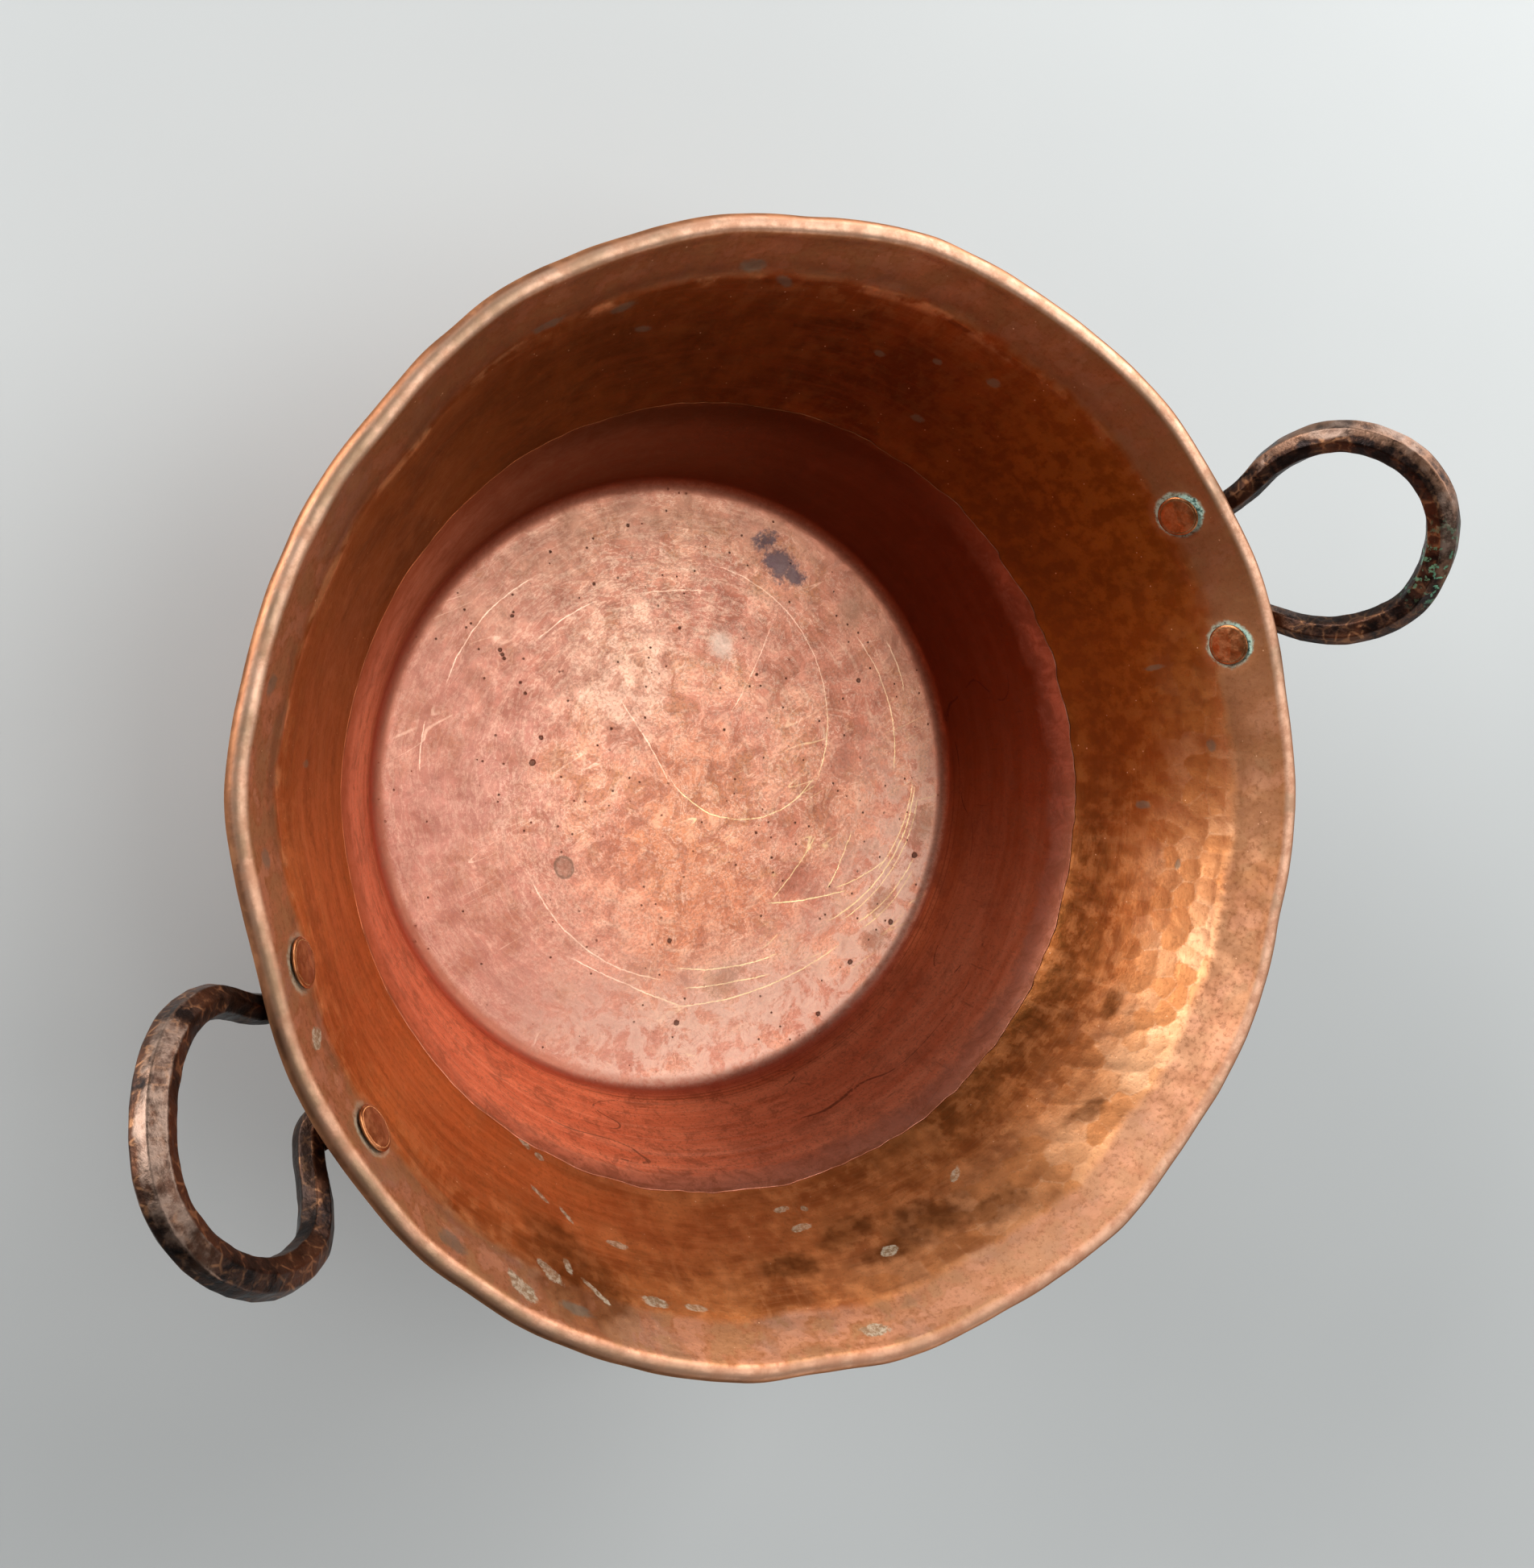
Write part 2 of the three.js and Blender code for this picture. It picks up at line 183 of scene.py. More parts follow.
def light_scene():
    """A faint even sky and five soft lamps round the pot, the strongest at the upper left of the picture."""
    world = bpy.data.worlds.new("studio")
    bpy.context.scene.world = world
    world.use_nodes = True
    background = world.node_tree.nodes["Background"]
    background.inputs["Color"].default_value = SKY_COLOUR
    background.inputs["Strength"].default_value = SKY_STRENGTH
    for lamp in LAMPS:
        soft_lamp(*lamp)


# Materials


class Finish:
    """A material as it is built up: each method adds nodes and returns their output. Places are metres in
    the part's frame, and colours are linear red, green and blue."""

    def __init__(self, name):
        self.material = bpy.data.materials.new(name)
        self.material.use_nodes = True
        self.tree = self.material.node_tree
        self.shader = self.tree.nodes["Principled BSDF"]
        self.object_place = self.add("ShaderNodeTexCoord").outputs["Object"]

    def add(self, kind, **settings):
        node = self.tree.nodes.new(kind)
        for key, value in settings.items():
            setattr(node, key, value)
        return node

    def feed(self, socket, value):
        """Links an output to a socket, or sets a number or a colour on it."""
        if isinstance(value, bpy.types.NodeSocket):
            self.tree.links.new(value, socket)
        elif value is not None:
            socket.default_value = (*value, 1) if socket.type == "RGBA" else value

    def attribute(self, name):
        return self.add("ShaderNodeAttribute", attribute_name=name).outputs["Fac"]

    def placed(self, vector=None, scale=(1, 1, 1), turn=(0, 0, 0), move=(0, 0, 0)):
        """A place scaled, turned and moved, to stretch or shift a pattern."""
        node = self.add("ShaderNodeMapping")
        self.feed(node.inputs["Vector"], vector or self.object_place)
        node.inputs["Scale"].default_value = scale
        node.inputs["Rotation"].default_value = turn
        node.inputs["Location"].default_value = move
        return node.outputs["Vector"]

    def noise(self, scale, detail=4, roughness=0.55, distortion=0, vector=None):
        node = self.add("ShaderNodeTexNoise")
        self.feed(node.inputs["Vector"], vector or self.object_place)
        node.inputs["Scale"].default_value = scale
        node.inputs["Detail"].default_value = detail
        node.inputs["Roughness"].default_value = roughness
        node.inputs["Distortion"].default_value = distortion
        return node.outputs["Fac"]

    def streaks(self, place, along, across, detail, roughness=0.55, distortion=0, turn=0.0):
        """Noise drawn out on a flat or unrolled place: its scale each way, and its turn in radians."""
        stretched = self.placed(place, scale=(along, across, 1), turn=(0, 0, turn))
        return self.noise(1, detail, roughness, distortion, stretched)

    def cells(self, scale, feature="F1"):
        """The distance to the nearest of scattered points, or to the edge between their cells."""
        node = self.add("ShaderNodeTexVoronoi", feature=feature)
        self.feed(node.inputs["Vector"], self.object_place)
        node.inputs["Scale"].default_value = scale
        return node.outputs["Distance"]

    def math(self, operation, a, b=0.0, clamp=False):
        node = self.add("ShaderNodeMath", operation=operation, use_clamp=clamp)
        self.feed(node.inputs[0], a)
        self.feed(node.inputs[1], b)
        return node.outputs[0]

    def band(self, value, low, high, to_low=0.0, to_high=1.0):
        """value mapped smoothly from low..high to to_low..to_high, and held there outside."""
        node = self.add("ShaderNodeMapRange", interpolation_type="SMOOTHSTEP")
        self.feed(node.inputs["Value"], value)
        for key, number in (("From Min", low), ("From Max", high), ("To Min", to_low), ("To Max", to_high)):
            node.inputs[key].default_value = number
        return node.outputs["Result"]

    def mix(self, factor, a, b):
        """Colour a where the factor is 0, and b where it is 1."""
        node = self.add("ShaderNodeMix", data_type="RGBA")
        self.feed(node.inputs["Factor"], factor)
        self.feed(node.inputs[6], a)
        self.feed(node.inputs[7], b)
        return node.outputs[2]

    def coat(self, tone, texture, low, high, most, colour):
        """The tone with a colour over it, by up to a share as the texture goes from low to high."""
        return self.mix(self.band(texture, low, high, 0, most), tone, colour)

    def away(self, centre, vector=None):
        """The distance from a point."""
        node = self.add("ShaderNodeVectorMath", operation="DISTANCE")
        self.feed(node.inputs[0], vector or self.object_place)
        node.inputs[1].default_value = centre
        return node.outputs["Value"]

    def plus(self, first, *rest):
        return self.math("ADD", first, self.plus(*rest)) if rest else first

    def times(self, *values):
        product = values[0]
        for value in values[1:]:
            product = self.math("MULTIPLY", product, value)
        return product

    def shifted(self, value, amount, middle=0.5):
        """A texture centred on zero and scaled, to push an edge about."""
        return self.math("MULTIPLY", self.math("SUBTRACT", value, middle), amount)

    def vein(self, texture, inner, outer, middle=0.5):
        """1 along the lines where a texture crosses its middle, falling to 0 from inner to outer."""
        return self.band(self.math("ABSOLUTE", self.shifted(texture, 1.0, middle)), inner, outer, 1, 0)

    def blot(self, centre, radius, soft, warp=None):
        """1 inside a blot of that radius round a point, falling to 0 over soft; warp makes its edge uneven."""
        away = self.away(centre)
        if warp is not None:
            away = self.plus(away, warp)
        return self.band(away, radius - soft, radius + soft, 1, 0)

    def patch(self, place, centre, size, turn=0.0, soft=0.3, warp=None):
        """1 inside an ellipse of that size and turn on an unrolled place, falling to 0 over a share of it."""
        node = self.add("ShaderNodeMapping", vector_type="TEXTURE")
        self.feed(node.inputs["Vector"], place)
        node.inputs["Location"].default_value = (*centre, 0)
        node.inputs["Rotation"].default_value = (0, 0, turn)
        node.inputs["Scale"].default_value = (*size, 1)
        away = self.away((0, 0, 0), node.outputs["Vector"])
        if warp is not None:
            away = self.plus(away, warp)
        return self.band(away, 1 - soft, 1 + soft, 1, 0)

    def split(self):
        """The x, y and z of the place."""
        node = self.add("ShaderNodeSeparateXYZ")
        self.feed(node.inputs[0], self.object_place)
        return node.outputs

    def joined(self, x, y, z):
        node = self.add("ShaderNodeCombineXYZ")
        for socket, value in zip(node.inputs, (x, y, z)):
            self.feed(socket, value)
        return node.outputs[0]

    def round_place(self):
        """The azimuth of the place in radians, its distance from the axis, and its height."""
        x, y, z = self.split()
        flat = self.math("SQRT", self.plus(self.times(x, x), self.times(y, y)))
        return self.math("ARCTAN2", y, x), flat, z

    def facing(self, azimuth_degrees):
        """The cosine of the angle round the pot between the place and an azimuth."""
        x, y, _ = self.split()
        _, flat, _ = self.round_place()
        towards = self.times(x, cos(radians(azimuth_degrees)))
        towards = self.plus(towards, self.times(y, sin(radians(azimuth_degrees))))
        return self.math("DIVIDE", towards, self.math("MAXIMUM", flat, 0.001))

    def side(self, azimuth_degrees, low, high, to_low=0.0, to_high=1.0):
        """A band of facing(): one side of the pot, with soft ends."""
        return self.band(self.facing(azimuth_degrees), low, high, to_low, to_high)

    def bumps(self, *layers):
        """Relief from several textures, finest first: each a height, its depth in metres and its strength."""
        normal = None
        for height, depth, strength in layers:
            node = self.add("ShaderNodeBump")
            node.inputs["Strength"].default_value = strength
            node.inputs["Distance"].default_value = depth
            self.feed(node.inputs["Height"], height)
            self.feed(node.inputs["Normal"], normal)
            normal = node.outputs["Normal"]
        return normal

    def surface(self, colour, roughness=0.5, metallic=0.0, normal=None, tint=None, gloss=None):
        """Feeds the shader. The tint and the gloss are the colour and the strength of its reflection."""
        sockets = ("Base Color", "Roughness", "Metallic", "Normal", "Specular Tint", "Specular IOR Level")
        for name, value in zip(sockets, (colour, roughness, metallic, normal, tint, gloss)):
            self.feed(self.shader.inputs[name], value)


def strongest(finish, masks):
    """The largest of several masks at each place."""
    most = masks[0]
    for mask in masks[1:]:
        most = finish.math("MAXIMUM", most, mask)
    return most


# In the copper finishes, azimuths are degrees round the pot from the right handle, as read off the photograph,
# and the ranges of a texture lie round its middle, 0.5. Each coat goes over the ones before it.
LIT_SIDE = 312  # azimuth of the side where the light shows each blow, in degrees
CREASED_SIDE = 115  # azimuth of the side where the crease under the rim is sharpest

# Marks on the wall: azimuth in degrees from -180 to 180; height, half length and half width in millimetres;
# and the turn of the length from level, in degrees
STAINS = (
    (-143.5, 150, 19, 13, 0), (-145, 140, 20, 12, 0), (-146.4, 131, 15, 9, 20), (-106, 116, 15, 7, -10),
    (-96, 124, 20, 9, 10), (-88, 136, 14, 6, 0), (-71, 134, 10, 4, 20), (-56, 118, 8, 4, 0),
    (-116, 127, 13, 6, 0), (-101, 131, 22, 5, 0),
)
SPLASHES = (
    (176.3, 155.6, 4.5, 3, 60), (-151, 84, 4, 2, 20), (-148.4, 87, 2.5, 1.6, 0), (-112.8, 97, 5.5, 1.5, -8),
    (-109.5, 98.5, 1.8, 1.5, 0), (-111.7, 108.1, 6, 1.7, -10), (-88.7, 113.5, 5.5, 1.6, -30), (-147.9, 147, 6, 2.6, 30),
    (-151.1, 160, 7, 3, 20), (-135, 145.2, 6, 2.2, 0), (-129.9, 144.8, 5.5, 1.6, 0), (-138.2, 120.3, 5, 1.7, 0),
    (-148.6, 109.4, 5, 1.2, 30), (-144.9, 113.9, 4.5, 1.2, 45), (-102.9, 130.5, 4, 2.2, 0), (-110.4, 160, 6, 2.4, 0),
    (-150.8, 76.8, 3, 1.4, 40), (-145.5, 141, 4, 1.6, 70), (-142.2, 148, 7, 1.2, 35),
)
FLECKS = (
    (73.5, 153, 5, 2.6, 0), (69, 146, 4.5, 2, 30), (41, 97.4, 3, 1.8, 0), (38, 132.5, 3.2, 2, 0),
    (84.4, 126.7, 3.5, 1.7, 20), (45.3, 126.8, 2, 1.4, 0), (88, 143, 5.5, 2, 0), (158.7, 160, 3, 3, 0),
    (143, 162, 3, 3, 0), (-27.3, 109.9, 1.8, 3.4, 0), (-19, 141, 3, 1.8, 0), (52, 118, 2.6, 1.4, 0),
    (150, 120, 1.4, 3, 0), (97, 150, 6, 1.8, 0), (-160, 161, 6, 3, 0), (-144.7, 158.5, 6, 2.2, 0),
    (-35, 128, 2.4, 1.2, 0), (-8, 121, 1.2, 5, 0),
)


def wall_marks(finish, place, marks, soft, warp):
    """Blots on the unrolled wall, the strongest at each place."""
    blots = 0.0
    for azimuth_degrees, height, long, wide, turn in marks:
        centre = (radians(azimuth_degrees) * RIM_RADIUS, height * MM)
        blot = finish.patch(place, centre, (long * MM, wide * MM), radians(turn), soft, warp)
        blots = finish.math("MAXIMUM", blots, blot)
    return blots


def copper_wall():
    """Golden-brown patina in patches, with painted shade on the shaded side, and redder towards the lap, with streaks
    round the pot and down the slope. On the lit side the blows are pale, partly rubbed and partly painted light, with
    painted glints along their ridges; painted shadow lies on the wall over the lap there, and painted light on the
    lower side. The band over the crease is dull and pink, with painted shade and painted light on its two sides, a
    painted highlight along the crease and painted shade in the groove above it; the bead is pale on top, partly rubbed
    and partly painted light. Stains, solder splashes, flecks, and green crust round the rivets."""
    finish = Finish("wall_copper")
    azimuth, _, height = finish.round_place()
    unrolled = finish.joined(finish.times(azimuth, RIM_RADIUS), height, 0.0)
    broad = finish.noise(13, detail=4, roughness=0.6, distortion=0.4)
    patches = finish.noise(42, detail=5, roughness=0.62, distortion=0.3)
    fine = finish.noise(130, detail=6, roughness=0.68)
    speck = finish.noise(520, detail=4, roughness=0.7)
    level = finish.streaks(unrolled, 16, 210, detail=6, roughness=0.66)
    thin = finish.streaks(unrolled, 45, 760, detail=4, roughness=0.62)
    steep = finish.streaks(unrolled, 120, 26, detail=5, roughness=0.62)
    shaded = finish.facing(62)
    lit = finish.facing(305)

    patina = finish.mix(finish.band(broad, 0.36, 0.62), (0.44, 0.125, 0.032), (0.60, 0.200, 0.055))
    patina = finish.coat(patina, patches, 0.47, 0.57, 0.66, (0.35, 0.088, 0.019))
    patina = finish.coat(patina, fine, 0.50, 0.60, 0.50, (0.74, 0.305, 0.110))
    patina = finish.coat(patina, level, 0.48, 0.64, 0.40, (0.30, 0.074, 0.020))
    patina = finish.coat(patina, thin, 0.50, 0.66, 0.26, (0.76, 0.33, 0.13))
    patina = finish.coat(patina, steep, 0.53, 0.64, 0.32, (0.76, 0.33, 0.13))
    red_side = finish.times(finish.side(195, 0.2, 0.9), finish.band(height, 0.150, 0.105), 0.75)
    redder = finish.mix(finish.band(level, 0.36, 0.66), (0.58, 0.172, 0.056), (0.42, 0.105, 0.028))
    patina = finish.mix(red_side, patina, redder)

    streaks = finish.streaks(unrolled, 11, 105, detail=4, roughness=0.6, turn=0.06)
    streaked = finish.times(
        finish.side(145, 0.0, 0.9), finish.band(height, 0.150, 0.142), finish.band(fine, 0.36, 0.60, 0.25, 1)
    )
    dark_streaks = finish.times(streaked, finish.band(streaks, 0.50, 0.64, 0, 0.60))
    patina = finish.mix(dark_streaks, patina, (0.28, 0.072, 0.020))
    light_streaks = finish.times(streaked, finish.band(streaks, 0.47, 0.36, 0, 0.42))
    patina = finish.mix(light_streaks, patina, (0.74, 0.27, 0.11))

    # Painted shade: the side away from the light, most strongly low on the wall, is darkened towards a shade colour.
    dark = finish.times(finish.band(shaded, -0.40, 0.62), finish.band(height, 0.168, 0.126, 0.40, 1), 0.88)
    painted_shade = finish.mix(finish.band(patches, 0.42, 0.60), (0.080, 0.019, 0.003), (0.175, 0.052, 0.010))
    painted_shade = finish.coat(painted_shade, level, 0.50, 0.60, 0.5, (0.19, 0.050, 0.014))
    patina = finish.mix(dark, patina, painted_shade)

    crease_place = finish.plus(height, finish.shifted(patches, 0.009), finish.shifted(fine, 0.004))
    marked = finish.attribute("ridge")
    # Partly painted light: the blows on the lit side under the crease are made pale, each blow its own tone, as well as
    # rubbed.
    rubbed_and_painted_light = finish.times(
        finish.band(lit, 0.40, 0.95), finish.band(height, 0.100, 0.140), finish.band(patches, 0.30, 0.70, 1.0, 0.55)
    )
    blow = finish.attribute("blow")
    rubbed = finish.mix(finish.band(blow, 0.10, 0.95), (0.62, 0.270, 0.105), (0.80, 0.450, 0.240))
    rubbed = finish.coat(rubbed, patches, 0.42, 0.60, 0.5, (0.62, 0.270, 0.100))
    patina = finish.mix(rubbed_and_painted_light, patina, rubbed)
    # Painted glints along the ridges between blows on the lit side.
    ridge = finish.times(
        finish.band(marked, 0.35, 0.90), finish.band(lit, 0.55, 0.92), finish.band(height, 0.108, 0.132)
    )
    patina = finish.mix(finish.times(ridge, finish.band(fine, 0.44, 0.58, 0.0, 0.36)), patina, (0.88, 0.56, 0.33))
    olive = finish.times(finish.side(5, 0.74, 0.99), finish.band(crease_place, 0.156, 0.138), 0.76)
    golden_brown = finish.mix(finish.band(fine, 0.4, 0.6), (0.190, 0.062, 0.006), (0.33, 0.110, 0.014))
    patina = finish.mix(olive, patina, golden_brown)
    # Painted shadow on the wall just over the lap, on the lit side, where the rim shades it.
    painted_lap_shadow = finish.times(
        finish.band(height, 0.118, 0.086), finish.side(325, 0.1, 0.8), finish.band(fine, 0.34, 0.62, 0.85, 0.35)
    )
    patina = finish.mix(painted_lap_shadow, patina, (0.175, 0.062, 0.014))
    # Painted light: the lower side of the wall is made lighter and warmer.
    painted_light_low_side = finish.times(
        finish.side(255, 0.70, 0.98), finish.band(patches, 0.35, 0.60, 0.40, 0.05)
    )
    patina = finish.mix(painted_light_low_side, patina, (0.78, 0.31, 0.105))

    above_crease = finish.band(crease_place, CREASE_HEIGHT - 0.0005, CREASE_HEIGHT + 0.0042)
    dull = finish.mix(finish.band(fine, 0.36, 0.64), (0.55, 0.27, 0.150), (0.34, 0.145, 0.070))
    dull = finish.coat(dull, patches, 0.50, 0.64, 0.7, (0.48, 0.30, 0.215))
    quilt = finish.noise(85, detail=3, roughness=0.5)
    dull = finish.coat(dull, quilt, 0.50, 0.54, 0.55, (0.40, 0.245, 0.125))
    dull = finish.coat(dull, quilt, 0.45, 0.41, 0.55, (0.66, 0.34, 0.22))
    # Painted shade on the shaded side of the band, and painted light on its lit side.
    dull = finish.mix(finish.times(finish.band(shaded, -0.1, 0.8), 0.65), dull, (0.20, 0.070, 0.025))
    dull = finish.mix(finish.times(finish.side(288, 0.80, 0.99), 0.38), dull, (0.84, 0.48, 0.31))
    browned = finish.times(finish.side(350, 0.70, 0.98), finish.band(patches, 0.40, 0.56, 0.35, 0.80))
    dull = finish.mix(browned, dull, (0.31, 0.140, 0.062))
    patina = finish.mix(finish.times(above_crease, 0.72), patina, dull)
    # Painted highlight along the crease, broken in places.
    breaks = finish.band(finish.noise(60, detail=4), 0.46, 0.58)
    painted_crease_highlight = finish.times(
        finish.band(height, CREASE_HEIGHT - 0.0040, CREASE_HEIGHT - 0.0010),
        finish.band(height, CREASE_HEIGHT + 0.0022, CREASE_HEIGHT + 0.0006), breaks,
        finish.side(CREASED_SIDE, -0.3, 0.6, 0.15, 1),
    )
    patina = finish.mix(finish.times(painted_crease_highlight, 0.50), patina, (0.80, 0.43, 0.20))
    # Painted shade in the groove just above the crease.
    painted_groove_shade = finish.times(
        finish.band(height, CREASE_HEIGHT + 0.0022, CREASE_HEIGHT + 0.0036),
        finish.band(height, CREASE_HEIGHT + 0.0085, CREASE_HEIGHT + 0.0050), finish.band(patches, 0.34, 0.60),
        finish.side(CREASED_SIDE, -0.3, 0.6, 0.3, 1),
    )
    patina = finish.mix(finish.times(painted_groove_shade, 0.45), patina, (0.17, 0.065, 0.030))
    patina = finish.coat(patina, speck, 0.50, 0.66, 0.30, (0.20, 0.060, 0.018))
    sparks = finish.band(finish.cells(210), 0.045, 0.075, 1, 0)
    patina = finish.mix(finish.times(sparks, finish.band(fine, 0.45, 0.6), 0.7), patina, (0.95, 0.60, 0.36))

    warp = finish.plus(finish.shifted(patches, 0.9), finish.shifted(fine, 0.9))
    stains = finish.times(wall_marks(finish, unrolled, STAINS, 0.42, warp), finish.band(fine, 0.35, 0.65, 0.82, 0.48))
    patina = finish.mix(stains, patina, (0.165, 0.050, 0.012))
    small_warp = finish.shifted(finish.noise(230, detail=5, roughness=0.65), 1.7)
    splashes = wall_marks(finish, unrolled, SPLASHES, 0.14, small_warp)
    splashes = finish.times(splashes, finish.band(fine, 0.40, 0.58, 0.85, 0.60))
    solder = finish.mix(finish.band(speck, 0.42, 0.58), (0.54, 0.47, 0.35), (0.27, 0.205, 0.125))
    patina = finish.mix(splashes, patina, solder)
    flecks = wall_marks(finish, unrolled, FLECKS, 0.35, small_warp)
    patina = finish.mix(finish.times(flecks, 0.62), patina, (0.20, 0.190, 0.140))

    crusts, outlines = [], []
    for handle, amount, shift in (("right", 1.0, 1.0), ("left", 0.30, -1.0)):
        for side in (1, -1):
            centre = rivet_axis(HANDLES[handle], side)[0]
            edge_warp = finish.times(small_warp, 0.0016)
            ring = finish.blot(centre, HEAD_RADIUS + 0.0016, 0.0008, finish.times(small_warp, 0.0022))
            lean = finish.blot(centre + Vector((0.0040 * shift, 0, 0.0025)), HEAD_RADIUS, 0.002, edge_warp)
            crusts.append(finish.times(ring, finish.band(lean, 0.2, 0.9, 0.60, 1), amount))
            outlines.append(finish.blot(centre, HEAD_RADIUS + 0.0035, 0.0022, edge_warp))
    crust = strongest(finish, crusts)
    halo = finish.times(strongest(finish, outlines), 0.40)
    patina = finish.mix(halo, patina, (0.52, 0.24, 0.11))
    green = finish.mix(finish.band(speck, 0.36, 0.54), (0.055, 0.120, 0.100), (0.52, 0.72, 0.60))
    patina = finish.mix(crust, patina, green)

    # The bead's top is made pale, partly rubbed metal and partly painted light.
    bead = finish.attribute("bead")
    pale = finish.mix(finish.band(fine, 0.38, 0.62), (0.88, 0.55, 0.38), (0.66, 0.36, 0.23))
    pale = finish.coat(pale, patches, 0.52, 0.62, 0.50, (0.50, 0.34, 0.22))
    pale = finish.mix(finish.times(finish.side(215, 0.2, 0.8), 0.6), pale, (0.45, 0.215, 0.125))
    greened = finish.times(
        finish.side(160, 0.1, 0.8), finish.band(bead, 0.86, 0.98), finish.band(patches, 0.38, 0.54), 0.62
    )
    pale = finish.mix(greened, pale, (0.33, 0.215, 0.125))
    patina = finish.mix(finish.band(bead, 0.50, 0.97, 0, 0.92), patina, pale)
    outside = finish.mix(finish.band(patches, 0.32, 0.70), (0.190, 0.072, 0.034), (0.36, 0.145, 0.066))
    outside = finish.coat(outside, level, 0.45, 0.65, 0.35, (0.125, 0.048, 0.025))
    outside = finish.coat(outside, fine, 0.48, 0.62, 0.40, (0.47, 0.215, 0.105))
    outside = finish.coat(outside, height, 0.125, 0.072, 0.45, (0.120, 0.050, 0.028))
    patina = finish.mix(finish.times(finish.attribute("outside"), 0.88), patina, outside)

    rough = finish.band(fine, 0.3, 0.75, 0.32, 0.48)
    rough = finish.plus(rough, finish.times(rubbed_and_painted_light, 0.10))
    rough = finish.plus(rough, finish.times(above_crease, finish.band(lit, 0.2, 0.9, 0.10, 0.20)))
    rough = finish.math("ADD", rough, finish.times(crust, 0.3), clamp=True)
    rough = finish.math("ADD", rough, finish.times(splashes, 0.12), clamp=True)
    metal = finish.math("SUBTRACT", 0.80, finish.times(crust, 0.70))
    metal = finish.math("SUBTRACT", metal, finish.times(splashes, 0.25))
    normal = finish.bumps((speck, 0.00004, 0.6), (fine, 0.00018, 0.7), (patches, 0.00045, 0.7))
    finish.surface(patina, rough, metal, normal, tint=(1.0, 0.70, 0.48), gloss=0.3)
    return finish.material


# Pits in the floor: x, y and radius in millimetres
PITS = (
    (-48, 88, 1.2), (-48, 86, 1.1), (-48, 84, 1.0), (-46, 72, 0.9), (-46, 67, 1.0), (-37, 99, 1.0),
    (-10, 117, 0.9), (2, 97, 0.8), (-48, 47, 1.4), (-56, 39, 2.2), (-18, 37, 0.9), (30, 64, 0.9),
    (41, -112, 1.9), (16, -126, 1.6), (-47, -95, 2.0), (68, -105, 2.0), (93, -82, 2.3), (-34, -60, 1.6),
    (26, -49, 0.9), (24, -35, 0.9), (30, 14, 0.8), (55, 30, 0.8), (27, 114, 1.0), (101, 6, 1.6),
)
# Clouds of tone on the floor: middle and radius in millimetres, colour, and strength
FLOOR_CLOUDS = (
    ((-20, -46), 36, (0.76, 0.270, 0.110), 0.60), ((6, -8), 26, (0.70, 0.270, 0.125), 0.55),
    ((-4, 56), 24, (0.98, 0.64, 0.46), 0.55), ((-78, 38), 26, (0.58, 0.270, 0.210), 0.55),
    ((60, -40), 26, (0.66, 0.265, 0.155), 0.45), ((-62, -40), 24, (0.86, 0.38, 0.25), 0.50),
    ((78, 22), 26, (0.60, 0.250, 0.160), 0.50), ((-20, 100), 30, (0.58, 0.270, 0.165), 0.50),
    ((-14, -92), 20, (0.84, 0.50, 0.36), 0.40),
)
# Stains on the floor: x, y, half length and half width in millimetres, and the turn in radians
SMUDGES = (
    (-19, -88, 9, 6, 0.3), (67, -94, 7, 5, 0.8), (104, -71, 8, 6, 0.5), (57, -109, 6, 5, 0.0), (111, 37, 7, 5, 1.2),
)
BLUE_STAIN = ((87, 72, 8, 6, -1.2), (85, 83, 6, 4, 0.0), (91, 63, 5, 3.5, -0.9))
# Scratches: the x, y and radius of the circle that the scratch follows, the x and y of its middle, its half
# length, and its width, all in millimetres
SCRATCHES = (
    (14, 26, 71, 85, 30, 59, 0.40), (33, 2, 79, 111, -8, 32, 0.45), (69, 7, 54, 123, 4, 12, 0.55),
    (39, 11, 42, 20, -27, 40, 0.35), (-22, 51, 124, 34, -59, 17, 0.40), (-86, 109, 226, 56, -66, 14, 0.45),
    (101, 118, 204, 34, -75, 19, 0.50), (64, 8, 86, 63, -77, 13, 0.45), (42, -14, 75, 78, -80, 38, 0.60),
    (42, -15, 77, 80, -82, 34, 0.45), (44, -12, 73, 90, -66, 22, 0.45), (49, -24, 73, 73, -93, 20, 0.60),
    (47, -26, 75, 72, -97, 18, 0.45), (20, 44, 147, -4, -101, 42, 0.45), (21, 8, 99, -15, -85, 24, 0.45),
    (87, 199, 308, -18, -90, 20, 0.40), (2, -9, 80, -69, -44, 37, 0.45), (253, 181, 400, -60, -67, 27, 0.50),
    (-17, 32, 78, -51, 103, 29, 0.45), (-1, -13, 103, -16, 89, 15, 0.40), (-225, 0, 221, -5, 25, 20, 0.45),
    (-23, -66, 157, 35, 80, 15, 0.40), (-91, 216, 234, 55, 32, 22, 0.30), (-36, 29, 70, -96, 66, 10, 0.50),
)


def floor_scratches(finish, place, wobble):
    """Thin lines along circles, each kept within its own length, the strongest at each place."""
    lines = 0.0
    for x, y, radius, middle_x, middle_y, half, width in SCRATCHES:
        off = finish.math("SUBTRACT", finish.away((x * MM, y * MM, 0), place), radius * MM)
        off = finish.math("ABSOLUTE", finish.plus(off, wobble))
        line = finish.band(off, width * MM * 0.20, width * MM * 0.70, 1, 0)
        middle = (middle_x * MM, middle_y * MM)
        kept = finish.times(line, finish.patch(place, middle, (half * MM, half * MM), soft=0.12))
        lines = finish.math("MAXIMUM", lines, kept)
    return lines


def floor_spots(finish, place, spots, warp):
    """Uneven blots on the floor, the strongest at each place."""
    return strongest(finish, [
        finish.patch(place, (x * MM, y * MM), (long * MM, wide * MM), turn, 0.5, warp)
        for x, y, long, wide, turn in spots
    ])


